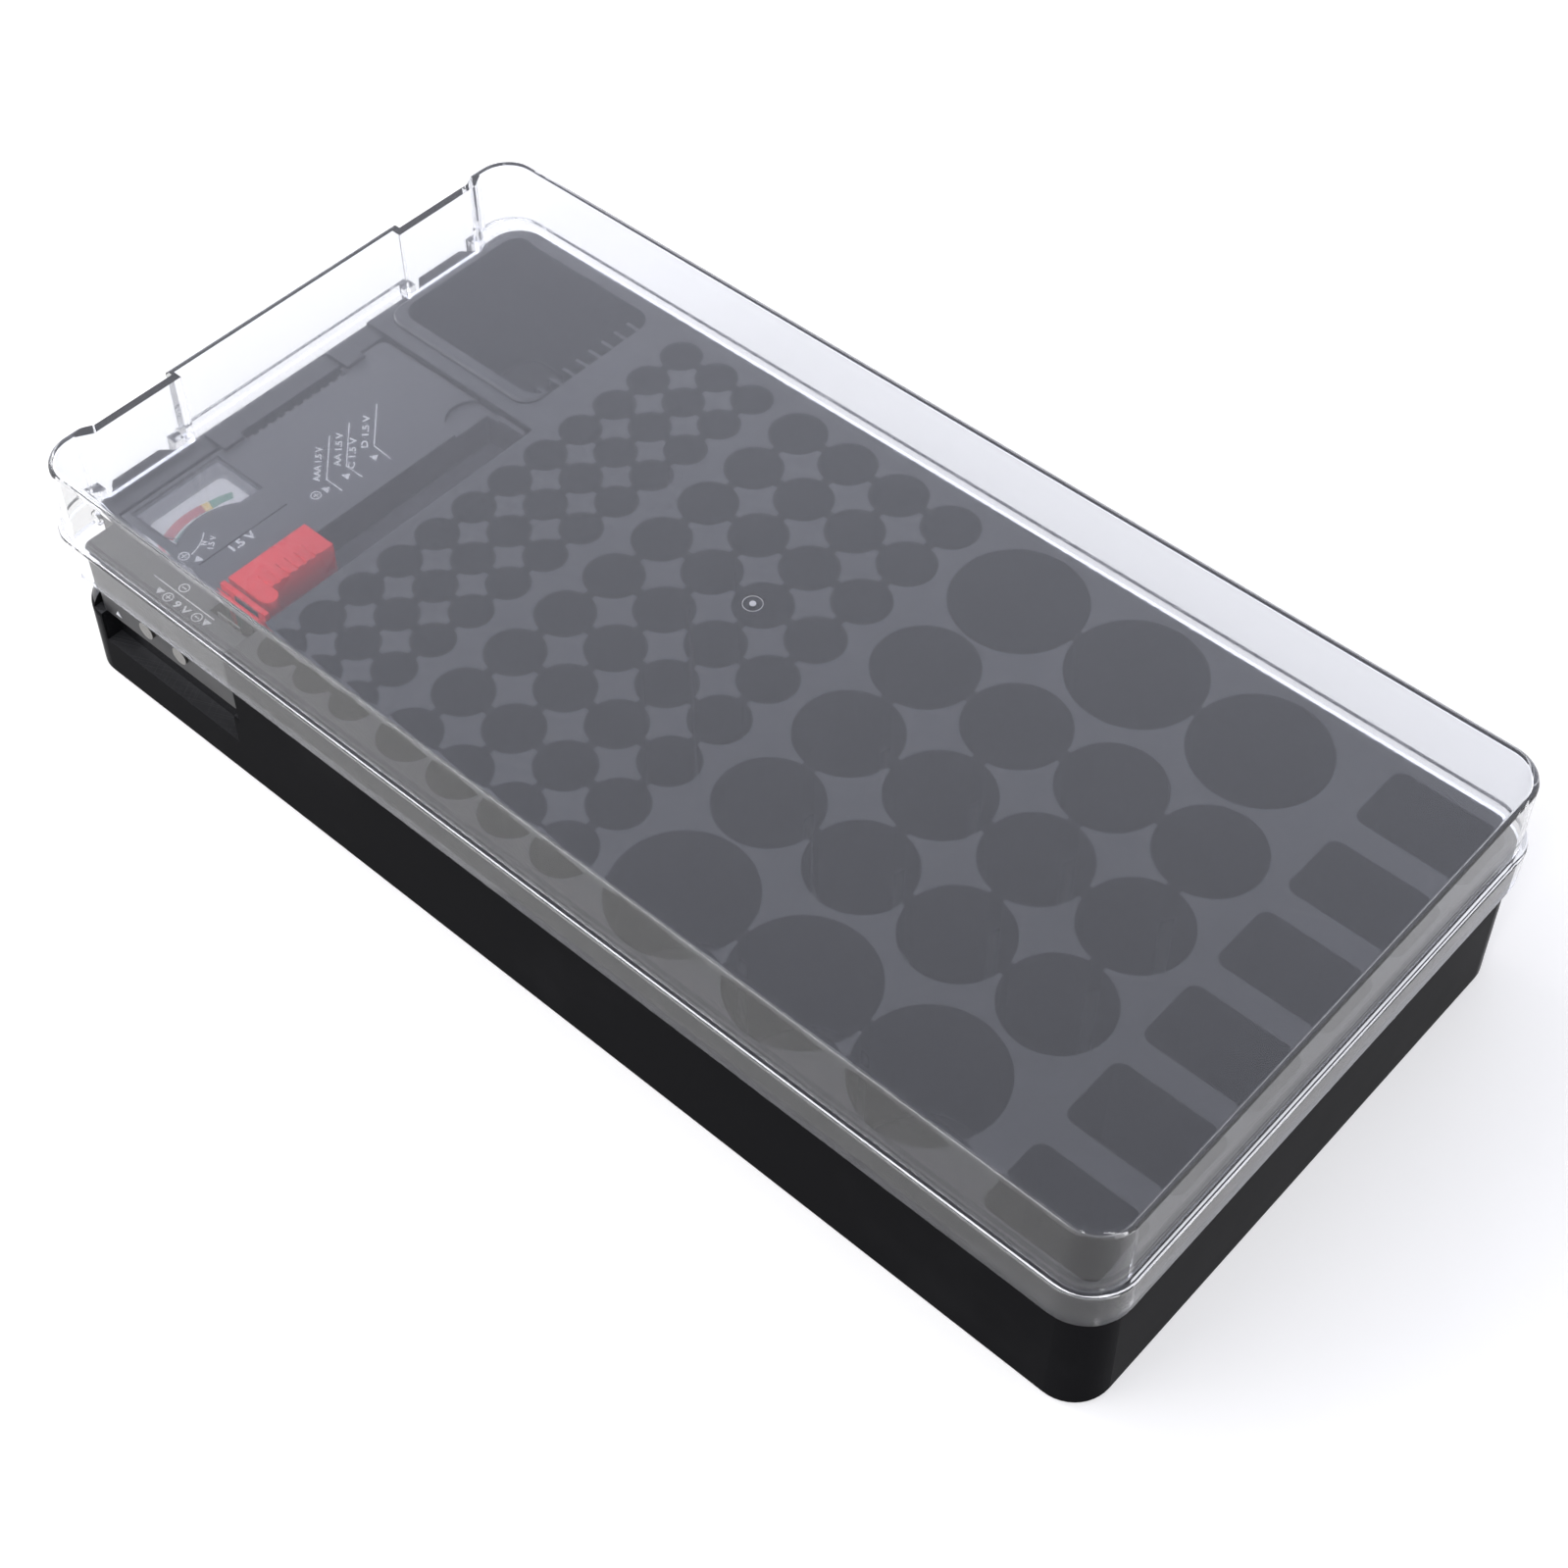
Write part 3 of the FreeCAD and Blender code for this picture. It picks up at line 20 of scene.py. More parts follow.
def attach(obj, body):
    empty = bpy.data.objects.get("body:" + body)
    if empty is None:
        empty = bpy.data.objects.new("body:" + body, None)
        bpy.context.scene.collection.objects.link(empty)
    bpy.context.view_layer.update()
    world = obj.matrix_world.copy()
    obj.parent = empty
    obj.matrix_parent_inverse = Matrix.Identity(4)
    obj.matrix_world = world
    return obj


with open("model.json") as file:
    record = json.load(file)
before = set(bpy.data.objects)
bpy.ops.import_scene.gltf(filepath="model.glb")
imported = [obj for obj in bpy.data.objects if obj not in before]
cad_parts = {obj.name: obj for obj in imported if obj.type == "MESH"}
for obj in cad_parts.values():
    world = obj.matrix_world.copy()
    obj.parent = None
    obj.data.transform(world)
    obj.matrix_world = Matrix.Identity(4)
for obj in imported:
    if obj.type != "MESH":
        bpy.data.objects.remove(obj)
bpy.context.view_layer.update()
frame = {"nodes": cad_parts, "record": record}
SLOTS = {part["node"]: part["material_slot"] for part in frame["record"]["subparts"]}

LOG = logging.getLogger("battery_case")
MM = 0.001

# How heavy the print's letters are, and how finely their curves are divided
LETTER_WEIGHT = 0.028
LETTER_STEPS = 3
# Noise levels between which one look turns into another
PATCH = (0.35, 0.65)
# How far above its level a scratch has faded in
SCRATCH_EDGE = 0.03
# Height of a normal on what counts as an upright wall and as a level face
LEVEL_FACE = (0.3, 0.8)
# Corners nearer than this, in metres, are one
NEARLY = 1e-6

Point = tuple[float, float]
Span = tuple[float, float]
Place = tuple[float, float, float]
Colour = tuple[float, float, float]


class Body(Enum):
    """The moving bodies of the case."""

    CASE = "case"
    LID = "lid"
    SLIDER = "slider"
    NEEDLE = "needle"


class Sign(Enum):
    """The sign inside a printed ring."""

    PLUS = "plus"
    MINUS = "minus"


class Aim(Enum):
    """Which long side of the case a printed arrow points to."""

    FAR = 1.0
    NEAR = -1.0


@dataclass(frozen=True)
class RoundBox:
    """The tray's outline as seen from above, its middle along X and its half sizes."""

    middle: float = 1.52
    half_x: float = 161.85
    half_y: float = 79.64
    corner: float = 10.0
    skin: float = 0.04


@dataclass(frozen=True)
class Scratches:
    """A family of straight scratches, in degrees and millimetres, and how rare it is."""

    turn: float
    length: float
    width: float
    rare: float


def put(tree: bpy.types.NodeTree, socket: bpy.types.NodeSocket, value: object) -> None:
    """Link an input to another node's socket, or give it a plain value."""
    if isinstance(value, bpy.types.NodeSocket):
        tree.links.new(value, socket)
    else:
        socket.default_value = value


def add_node(tree: bpy.types.NodeTree, kind: str, inputs: dict | None = None,
             **settings: object) -> bpy.types.Node:
    """Add a node to a tree and fill its inputs.

    Args:
        tree: The tree that gets the node.
        kind: The node's type.
        inputs: A plain value or another node's socket for each input.
        settings: Properties of the node itself.

    Returns:
        The new node.
    """
    node = tree.nodes.new(kind)
    for key, value in settings.items():
        setattr(node, key, value)
    for key, value in (inputs or {}).items():
        put(tree, node.inputs[key], value)
    return node


class Recipe:
    """The shader nodes of one material."""

    def __init__(self, name: str) -> None:
        """Start a material that holds one Principled shader.

        Args:
            name: The material's name.
        """
        self.material = bpy.data.materials.new(name)
        self.material.use_nodes = True
        self.tree = self.material.node_tree
        self.shader = self.tree.nodes["Principled BSDF"]
        self.coordinates = self.add("ShaderNodeTexCoord")
        self.place = self.coordinates.outputs["Object"]

    def add(self, kind: str, inputs: dict | None = None, **settings: object) -> bpy.types.Node:
        """Add a node to the material and fill its inputs."""
        return add_node(self.tree, kind, inputs, **settings)

    def set(self, **values: object) -> None:
        """Set the shader's own sockets, named with underscores for spaces."""
        for key, value in values.items():
            put(self.tree, self.shader.inputs[key.replace("_", " ")], value)

    def noise(self, size: float, detail: float = 2.0) -> bpy.types.NodeSocket:
        """Noise whose patches are about as wide as a size.

        Args:
            size: Width of a patch in millimetres.
            detail: Octaves of finer noise.

        Returns:
            The noise, from 0 to 1.
        """
        node = self.add("ShaderNodeTexNoise", {
            "Vector": self.place, "Scale": 1.0 / (size * MM), "Detail": detail})
        return node.outputs["Fac"]

    def span(self, value: bpy.types.NodeSocket, low: float, high: float,
             start: float = 0.0, end: float = 1.0) -> bpy.types.NodeSocket:
        """Stretch a range of values onto another one and clamp it there.

        Args:
            value: What to stretch.
            low: Value that becomes start.
            high: Value that becomes end.
            start: First value of the result.
            end: Last value of the result.

        Returns:
            The stretched value.
        """
        node = self.add("ShaderNodeMapRange", {
            "Value": value, "From Min": low, "From Max": high, "To Min": start, "To Max": end})
        return node.outputs["Result"]

    def combine(self, first: bpy.types.NodeSocket, second: bpy.types.NodeSocket | float,
                operation: str = "ADD") -> bpy.types.NodeSocket:
        """Combine two values by one step of arithmetic."""
        node = self.add("ShaderNodeMath", {0: first, 1: second}, operation=operation)
        return node.outputs[0]

    def mix(self, share: bpy.types.NodeSocket, first: bpy.types.NodeSocket | Colour,
            second: bpy.types.NodeSocket | Colour) -> bpy.types.NodeSocket:
        """Blend two colours.

        Args:
            share: How much of the second colour shows.
            first: A plain colour or another node's.
            second: The same for the other one.

        Returns:
            The blend.
        """
        sides = {key: side if isinstance(side, bpy.types.NodeSocket) else (*side, 1.0)
                 for key, side in (("A", first), ("B", second))}
        node = self.add("ShaderNodeMix", {"Factor": share, **sides}, data_type="RGBA")
        return node.outputs["Result"]

    def scratches(self, family: Scratches) -> bpy.types.NodeSocket:
        """Fine straight scratches: noise drawn out along one direction.

        Args:
            family: Their direction, their size and how rare they are.

        Returns:
            0 on the plain surface and 1 on a scratch.
        """
        mapping = self.add("ShaderNodeMapping", {
            "Vector": self.place, "Rotation": (0.0, 0.0, math.radians(family.turn)),
            "Scale": (family.length * MM, family.width * MM, family.width * MM)},
            vector_type="TEXTURE")
        node = self.add("ShaderNodeTexNoise", {
            "Vector": mapping.outputs["Vector"], "Scale": 1.0, "Detail": 0.0})
        return self.span(node.outputs["Fac"], family.rare, family.rare + SCRATCH_EDGE)

    def marks(self, families: tuple[Scratches, Scratches]) -> bpy.types.NodeSocket:
        """Two families of scratches, on the faces that look up."""
        first, second = (self.scratches(family) for family in families)
        return self.combine(self.combine(first, second, "MAXIMUM"), self.upward(), "MULTIPLY")

    def rise(self) -> bpy.types.NodeSocket:
        """How far a face looks up, from -1 to 1."""
        normal = self.add("ShaderNodeSeparateXYZ", {0: self.coordinates.outputs["Normal"]})
        return normal.outputs["Z"]

    def upward(self) -> bpy.types.NodeSocket:
        """1 on faces that look up and 0 on upright walls."""
        return self.span(self.rise(), *LEVEL_FACE)

    def level(self) -> bpy.types.NodeSocket:
        """1 on faces that look up or down and 0 on upright walls."""
        return self.span(self.combine(self.rise(), 0.0, "ABSOLUTE"), *LEVEL_FACE)

    def outside(self, box: RoundBox) -> bpy.types.NodeSocket:
        """1 on and beyond an upright box with round corners and 0 within it."""
        centred = self.vector("SUBTRACT", self.place, (box.middle * MM, 0.0, 0.0))
        turned = self.vector("ABSOLUTE", centred)
        over = self.vector("SUBTRACT", turned, (
            (box.half_x - box.corner) * MM, (box.half_y - box.corner) * MM, 1.0))
        reach = self.vector("LENGTH", self.vector("MAXIMUM", over, (0.0, 0.0, 0.0)))
        return self.combine(reach, (box.corner - box.skin) * MM, "GREATER_THAN")

    def vector(self, operation: str, first: bpy.types.NodeSocket,
               second: Place | None = None) -> bpy.types.NodeSocket:
        """One step of vector arithmetic, with its number or its vector as the result."""
        inputs = {0: first} if second is None else {0: first, 1: second}
        node = self.add("ShaderNodeVectorMath", inputs, operation=operation)
        return node.outputs["Value" if operation == "LENGTH" else "Vector"]

    def bump(self, height: bpy.types.NodeSocket, depth: float,
             under: bpy.types.NodeSocket | None = None) -> bpy.types.NodeSocket:
        """Bump the surface.

        Args:
            height: Height from 0 to 1.
            depth: What 1 stands for, in millimetres.
            under: A bump that this one lies on.

        Returns:
            The bent normal.
        """
        inputs = {"Height": height, "Distance": depth * MM, "Strength": 1.0}
        if under is not None:
            inputs["Normal"] = under
        return self.add("ShaderNodeBump", inputs).outputs["Normal"]


@dataclass(frozen=True)
class Finish:
    """What every finish has: a colour and a gloss that varies in patches."""

    name: str
    colour: Colour
    gloss: Span
    patch: float = 18.0

    def start(self) -> Recipe:
        """The recipe with its plain colour and its uneven gloss."""
        recipe = Recipe(self.name)
        recipe.set(Base_Color=(*self.colour, 1.0), Roughness=self.uneven(recipe))
        return recipe

    def uneven(self, recipe: Recipe) -> bpy.types.NodeSocket:
        """A roughness that varies in patches between the finish's two values."""
        return recipe.span(recipe.noise(self.patch), *PATCH, *self.gloss)

    def make(self) -> bpy.types.Material:
        """The finished material."""
        return self.start().material


@dataclass(frozen=True)
class MouldedPlastic(Finish):
    """Injection-moulded plastic: slow sink marks, fine skin, scuffs, scratches, painted top
    light.
    """

    sink: float = 0.03
    sink_size: float = 22.0
    skin: float = 0.0004
    skin_size: float = 2.0
    lines: tuple[Scratches, Scratches] = (
        Scratches(24.0, 30.0, 0.12, 0.70), Scratches(-61.0, 18.0, 0.10, 0.72))
    line_depth: float = 0.002
    scuff: Colour = (0.05, 0.05, 0.052)
    scuff_size: float = 45.0
    scuff_detail: float = 4.0
    scuff_levels: Span = (0.55, 0.75)
    scuff_wear: float = 0.16
    scuff_share: float = 0.5
    scuff_dull: float = 0.25
    specular: float = 0.25
    # Colour of the faces that look up: painted light that keeps the tops lighter than the walls
    painted_top_light: Colour | None = None
    outer: RoundBox | None = None
    outer_specular: float = 0.003

    def make(self) -> bpy.types.Material:
        """The finished material."""
        recipe = self.start()
        marks = recipe.marks(self.lines)
        rubbed = recipe.span(
            recipe.noise(self.scuff_size, self.scuff_detail), *self.scuff_levels)
        worn = recipe.combine(
            marks, recipe.combine(rubbed, self.scuff_wear, "MULTIPLY"), "MAXIMUM")
        # Faces that look up take the lighter colour: painted light on the tops
        lit_tops = recipe.mix(recipe.upward(), self.colour, self.painted_top_light or self.colour)
        slow = recipe.bump(recipe.noise(self.sink_size, 1.0), self.sink)
        fine = recipe.bump(recipe.noise(self.skin_size, 2.0), self.skin, slow)
        recipe.set(
            Base_Color=recipe.mix(
                recipe.combine(worn, self.scuff_share, "MULTIPLY"), lit_tops, self.scuff),
            Roughness=recipe.combine(
                self.uneven(recipe), recipe.combine(worn, self.scuff_dull, "MULTIPLY")),
            Normal=recipe.bump(marks, self.line_depth, fine),
            Specular_IOR_Level=self.specular)
        if self.outer:
            recipe.set(Specular_IOR_Level=recipe.span(
                recipe.outside(self.outer), 0.0, 1.0, self.specular, self.outer_specular))
        return recipe.material


@dataclass(frozen=True)
class ClearPlastic(Finish):
    """Clear plastic that is slightly hazy, finely scratched and weaker on its walls."""

    clear: float = 0.985
    bend: float = 1.47
    wall_bend: float = 1.18
    wall_colour: Colour = (0.85, 0.85, 0.845)
    wave: float = 0.02
    wave_size: float = 34.0
    lines: tuple[Scratches, Scratches] = (
        Scratches(12.0, 40.0, 0.10, 0.71), Scratches(-38.0, 26.0, 0.09, 0.72))
    line_depth: float = 0.0006
    line_dull: float = 0.08

    def make(self) -> bpy.types.Material:
        """The finished material."""
        recipe = self.start()
        marks = recipe.marks(self.lines)
        slow = recipe.bump(recipe.noise(self.wave_size, 1.0), self.wave)
        level = recipe.level()
        recipe.set(
            Base_Color=recipe.mix(level, self.wall_colour, self.colour),
            Roughness=recipe.combine(
                self.uneven(recipe), recipe.combine(marks, self.line_dull, "MULTIPLY")),
            Normal=recipe.bump(marks, self.line_depth, slow),
            Transmission_Weight=self.clear,
            IOR=recipe.span(level, 0.0, 1.0, self.wall_bend, self.bend))
        return recipe.material


@dataclass(frozen=True)
class SheetMetal(Finish):
    """Bare or plated metal with a fine grain along it."""

    grain: Scratches = Scratches(90.0, 6.0, 0.05, 0.55)
    grain_depth: float = 0.002

    def make(self) -> bpy.types.Material:
        """The finished material."""
        recipe = self.start()
        recipe.set(Metallic=1.0, Normal=recipe.bump(
            recipe.scratches(self.grain), self.grain_depth))
        return recipe.material


@dataclass(frozen=True)
class PrintInk(Finish):
    """Pad-printed ink, a little broken where it has worn."""

    worn: Colour = (0.2, 0.2, 0.21)
    gap_size: float = 0.7
    gap_detail: float = 3.0
    gap_levels: Span = (0.56, 0.7)
    grain_size: float = 0.4
    grain_depth: float = 0.003

    def make(self) -> bpy.types.Material:
        """The finished material."""
        recipe = self.start()
        gaps = recipe.span(recipe.noise(self.gap_size, self.gap_detail), *self.gap_levels)
        recipe.set(Base_Color=recipe.mix(gaps, self.colour, self.worn),
                   Normal=recipe.bump(recipe.noise(self.grain_size), self.grain_depth))
        return recipe.material


FINISHES: dict[str, Finish] = {finish.name: finish for finish in (
    # The lighter top colours of the tray and the tester are painted light on their upward faces
    MouldedPlastic(
        "black_plastic", (0.007, 0.007, 0.0075), (0.1, 0.2), specular=0.3,
        painted_top_light=(0.032, 0.032, 0.033), outer=RoundBox()),
    MouldedPlastic(
        "tester_plastic", (0.02, 0.02, 0.021), (0.34, 0.46), sink=0.01, skin=0.004,
        skin_size=0.5, specular=0.2, scuff=(0.11, 0.11, 0.112), painted_top_light=(0.07, 0.07, 0.073)),
    MouldedPlastic(
        "red_plastic", (0.62, 0.012, 0.016), (0.24, 0.36), scuff=(0.7, 0.12, 0.12), sink=0.01,
        specular=0.3),
    ClearPlastic("clear_plastic", (0.94, 0.95, 0.975), (0.0, 0.012)),
    ClearPlastic(
        "window_plastic", (0.97, 0.97, 0.97), (0.03, 0.06), clear=0.98, wave=0.002),
    Finish("dial_paper", (0.80, 0.79, 0.77), (0.5, 0.62)),
    Finish("needle_black", (0.012, 0.012, 0.013), (0.35, 0.5)),
    # Its colour is darkened below bare nickel: painted shade and painted dark reflections around
    # the contacts
    SheetMetal("contact_metal", (0.17, 0.165, 0.155), (0.2, 0.34)),
    SheetMetal("steel", (0.45, 0.45, 0.46), (0.28, 0.42)),
    SheetMetal("copper_winding", (0.55, 0.24, 0.09), (0.3, 0.45)),
    Finish("resistor_body", (0.5, 0.38, 0.24), (0.4, 0.55)),
    PrintInk("print_grey", (0.5, 0.5, 0.5), (0.45, 0.6)),
    PrintInk("scale_red", (0.5, 0.02, 0.03), (0.4, 0.5), worn=(0.6, 0.1, 0.1)),
    PrintInk("scale_yellow", (0.85, 0.56, 0.05), (0.4, 0.5), worn=(0.8, 0.6, 0.2)),
    PrintInk("scale_green", (0.02, 0.22, 0.1), (0.4, 0.5), worn=(0.1, 0.3, 0.2)),
    PrintInk("scale_white", (0.85, 0.87, 0.8), (0.4, 0.5), worn=(0.7, 0.7, 0.7)),
    PrintInk("scale_teal", (0.12, 0.3, 0.25), (0.4, 0.5), worn=(0.2, 0.35, 0.3)),
    Finish("surround_grey", (0.11, 0.11, 0.115), (0.4, 0.55)),
    ClearPlastic("gate_haze", (0.9, 0.9, 0.92), (0.35, 0.5), clear=0.7, wave=0.001),
)}


class Shelf:
    """The materials, each made once when it is first asked for."""

    def __init__(self) -> None:
        """Start with no material."""
        self.made: dict[str, bpy.types.Material] = {}

    def take(self, name: str) -> bpy.types.Material:
        """The material of that finish."""
        if name not in self.made:
            self.made[name] = FINISHES[name].make()
        return self.made[name]


SHELF = Shelf()


def new_piece(name: str, mesh: bpy.types.Mesh, body: Body, finish: str) -> bpy.types.Object:
    """Show a mesh as a piece that moves with a body.

    Args:
        name: The piece's name.
        mesh: Its mesh, in the case's own frame.
        body: The body that it rides on.
        finish: Its material slot or finish.

    Returns:
        The piece.
    """
    mesh.name = name
    piece = bpy.data.objects.new(name, mesh)
    bpy.context.scene.collection.objects.link(piece)
    if not mesh.materials:
        mesh.materials.append(SHELF.take(finish))
    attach(piece, body.value)
    LOG.info("made %s on %s: %d faces", name, body.value, len(mesh.polygons))
    return piece


def dress_nodes() -> None:
    """Give each CAD node the material of its slot in the record."""
    for name, node in frame["nodes"].items():
        node.data.materials.clear()
        node.data.materials.append(SHELF.take(SLOTS[name]))
        LOG.info("dressed %s in %s", name, SLOTS[name])


class Weave:
    """A tree of Geometry Nodes with named inputs, run on a mesh of points or paths."""

    def __init__(self, name: str, **sizes: float) -> None:
        """Start a tree.

        Args:
            name: The tree's name.
            sizes: Its number inputs, in metres, with their values.
        """
        self.tree = bpy.data.node_groups.new(name, "GeometryNodeTree")
        self.sizes = sizes
        self.keys = {"Geometry": self.open("Geometry", "Geometry")}
        for key in sizes:
            self.keys[key] = self.open(key, "Float")
        self.keys["Material"] = self.open("Material", "Material")
        self.tree.interface.new_socket(
            "Geometry", in_out="OUTPUT", socket_type="NodeSocketGeometry")
        self.given = self.tree.nodes.new("NodeGroupInput")

    def open(self, name: str, kind: str) -> str:
        """Add a named input and return its identifier."""
        return self.tree.interface.new_socket(
            name, in_out="INPUT", socket_type="NodeSocket" + kind).identifier

    def add(self, kind: str, inputs: dict | None = None, **settings: object) -> bpy.types.Node:
        """Add a node to the tree, its kind without GeometryNode, and fill its inputs."""
        return add_node(self.tree, "GeometryNode" + kind, inputs, **settings)

    def finish(self, shape: bpy.types.NodeSocket) -> None:
        """End the tree with real geometry in one material."""
        real = self.add("RealizeInstances", {"Geometry": shape})
        dressed = self.add("SetMaterial", {
            "Geometry": real.outputs[0], "Material": self.given.outputs["Material"]})
        result = self.tree.nodes.new("NodeGroupOutput")
        self.tree.links.new(dressed.outputs[0], result.inputs[0])

    def run(self, source: bpy.types.Mesh, finish: str) -> bpy.types.Mesh:
        """Run the tree once.

        Args:
            source: The points or paths that the tree starts from.
            finish: The finish of what it makes.

        Returns:
            A plain mesh with that finish.
        """
        holder = bpy.data.objects.new("paths", source)
        bpy.context.scene.collection.objects.link(holder)
        modifier = holder.modifiers.new("weave", "NODES")
        modifier.node_group = self.tree
        for key, value in self.sizes.items():
            modifier[self.keys[key]] = value
        modifier[self.keys["Material"]] = SHELF.take(finish)
        mesh = bpy.data.meshes.new_from_object(
            holder.evaluated_get(bpy.context.evaluated_depsgraph_get()))
        holder.modifiers.remove(modifier)
        bpy.data.objects.remove(holder)
        return mesh


def weave_strokes(width: float, thick: float) -> Weave:
    """A tree that lays a flat stroke of ink along each path.

    Args:
        width: Width of a stroke in millimetres.
        thick: Thickness of the ink in millimetres.

    Returns:
        The tree.
    """
    weave = Weave("strokes", Width=width * MM, Thick=thick * MM)
    path = weave.add("MeshToCurve", {"Mesh": weave.given.outputs["Geometry"]})
    level = weave.add("SetCurveNormal", {"Curve": path.outputs[0]}, mode="Z_UP")
    profile = weave.add("CurvePrimitiveQuadrilateral", {
        "Width": weave.given.outputs["Width"], "Height": weave.given.outputs["Thick"]})
    swept = weave.add("CurveToMesh", {
        "Curve": level.outputs[0], "Profile Curve": profile.outputs[0], "Fill Caps": True})
    weave.finish(swept.outputs[0])
    return weave


def weave_stamps(radius: float, tall: float, sides: int) -> Weave:
    """A tree that stands a low round mark on each point.

    Args:
        radius: Radius of a mark in millimetres.
        tall: Its height in millimetres, half of it below the point.
        sides: How many sides stand for its round edge.

    Returns:
        The tree.
    """
    weave = Weave("stamps", Radius=radius * MM, Tall=tall * MM)
    mark = weave.add("MeshCylinder", {
        "Vertices": sides, "Radius": weave.given.outputs["Radius"],
        "Depth": weave.given.outputs["Tall"]})
    stamped = weave.add("InstanceOnPoints", {
        "Points": weave.given.outputs["Geometry"], "Instance": mark.outputs["Mesh"]})
    weave.finish(stamped.outputs[0])
    return weave


def paths_mesh(paths: list[list[Point]], level: float) -> bpy.types.Mesh:
    """Bare paths for a tree to follow, closed where the last point is the first.

    Args:
        paths: The points of each path in millimetres.
        level: Their height.

    Returns:
        A mesh of points and edges.
    """
    points: list[Place] = []
    edges: list[tuple[int, int]] = []
    for path in paths:
        closed = len(path) > 2 and path[0] == path[-1]
        kept = path[:-1] if closed else path
        first = len(points)
        points += [(x * MM, y * MM, level * MM) for x, y in kept]
        edges += [(index, index + 1) for index in range(first, len(points) - 1)]
        if closed:
            edges.append((len(points) - 1, first))
    mesh = bpy.data.meshes.new("paths")
    mesh.from_pydata(points, edges, [])
    return mesh


def slab(outlines: list[list[Point]], low: float, high: float) -> bpy.types.Mesh:
    """Upright plates with the given outlines.

    Args:
        outlines: Corners of each plate, anticlockwise, in millimetres.
        low: Height of their undersides.
        high: Height of their tops.

    Returns:
        One closed mesh for all of them.
    """
    shape = bmesh.new()
    for outline in outlines:
        rings = [[shape.verts.new((x * MM, y * MM, z * MM)) for x, y in outline]
                 for z in (low, high)]
        shape.faces.new(rings[1])
        shape.faces.new(rings[0][::-1])
        stitch(shape, *rings)
    return as_mesh(shape)


def stitch(shape: bmesh.types.BMesh, first: list[bmesh.types.BMVert],
           second: list[bmesh.types.BMVert]) -> None:
    """Join two rings of corners by a band of four-sided faces.

    Args:
        shape: The working mesh.
        first: One ring.
        second: The other one, with as many corners.
    """
    for index, corner in enumerate(first):
        after = (index + 1) % len(first)
        shape.faces.new((corner, first[after], second[after], second[index]))


def as_mesh(shape: bmesh.types.BMesh) -> bpy.types.Mesh:
    """Turn a working mesh into a plain one with its normals outwards."""
    bmesh.ops.recalc_face_normals(shape, faces=shape.faces)
    mesh = bpy.data.meshes.new("shape")
    shape.to_mesh(mesh)
    shape.free()
    return mesh


def join(meshes: list[bpy.types.Mesh]) -> bpy.types.Mesh:
    """Put several meshes into one."""
    shape = bmesh.new()
    for mesh in meshes:
        shape.from_mesh(mesh)
    return as_mesh(shape)


def on_circle(centre: Point, radius: float, turn: float) -> Point:
    """A point on a circle, its turn in degrees anticlockwise from X."""
    angle = math.radians(turn)
    return centre[0] + radius * math.cos(angle), centre[1] + radius * math.sin(angle)


def arc(centre: Point, radius: float, first: float, last: float, count: int) -> list[Point]:
    """Points along an arc.

    Args:
        centre: Its centre.
        radius: Its radius in millimetres.
        first: Where it starts, in degrees.
        last: Where it ends.
        count: How many equal steps it has.

    Returns:
        The points, one more than the steps.
    """
    return [on_circle(centre, radius, first + (last - first) * step / count)
            for step in range(count + 1)]


def circle(centre: Point, radius: float, count: int) -> list[Point]:
    """A circle as a path whose last point is its first."""
    points = arc(centre, radius, 0.0, 360.0, count)
    return points[:-1] + [points[0]]


@dataclass(frozen=True)
class Label:
    """A short printed text: where it starts, its turn, its height and its length."""

    text: str
    start: Point
    turn: float
    tall: float
    run: float

    def make(self, level: float, thick: float) -> bpy.types.Mesh:
        """The letters as a mesh on the face that they are printed on.

        Args:
            level: Height of the middle of the ink.
            thick: Thickness of the ink.

        Returns:
            Closed letters, spread so that the text has its run.
        """
        curve = bpy.data.curves.new(self.text, "FONT")
        curve.body = self.text
        curve.extrude = thick / 2
        curve.resolution_u = LETTER_STEPS
        curve.offset = LETTER_WEIGHT
        holder = bpy.data.objects.new(self.text, curve)
        bpy.context.scene.collection.objects.link(holder)
        mesh = bpy.data.meshes.new_from_object(
            holder.evaluated_get(bpy.context.evaluated_depsgraph_get()))
        bpy.data.objects.remove(holder)
        places = [corner.co for corner in mesh.vertices]
        wide = max(place.x for place in places) - min(place.x for place in places)
        high = max(place.y for place in places)
        stretch = Matrix.Diagonal((self.run / wide, self.tall / high, 1.0, 1.0))
        turned = Matrix.Rotation(math.radians(self.turn), 4, "Z")
        place = Matrix.Translation((*self.start, level))
        mesh.transform(Matrix.Scale(MM, 4) @ place @ turned @ stretch)
        mesh.materials.clear()
        return mesh


@dataclass(frozen=True)
class MarkField:
    """A regular field of round marks, from its near left one."""

    first: Point
    pitch: Span
    counts: tuple[int, int]
    level: float
    radius: float

    def points(self) -> list[Point]:
        """The middle of each mark."""
        return [(self.first[0] + column * self.pitch[0], self.first[1] + row * self.pitch[1])
                for column in range(self.counts[0]) for row in range(self.counts[1])]


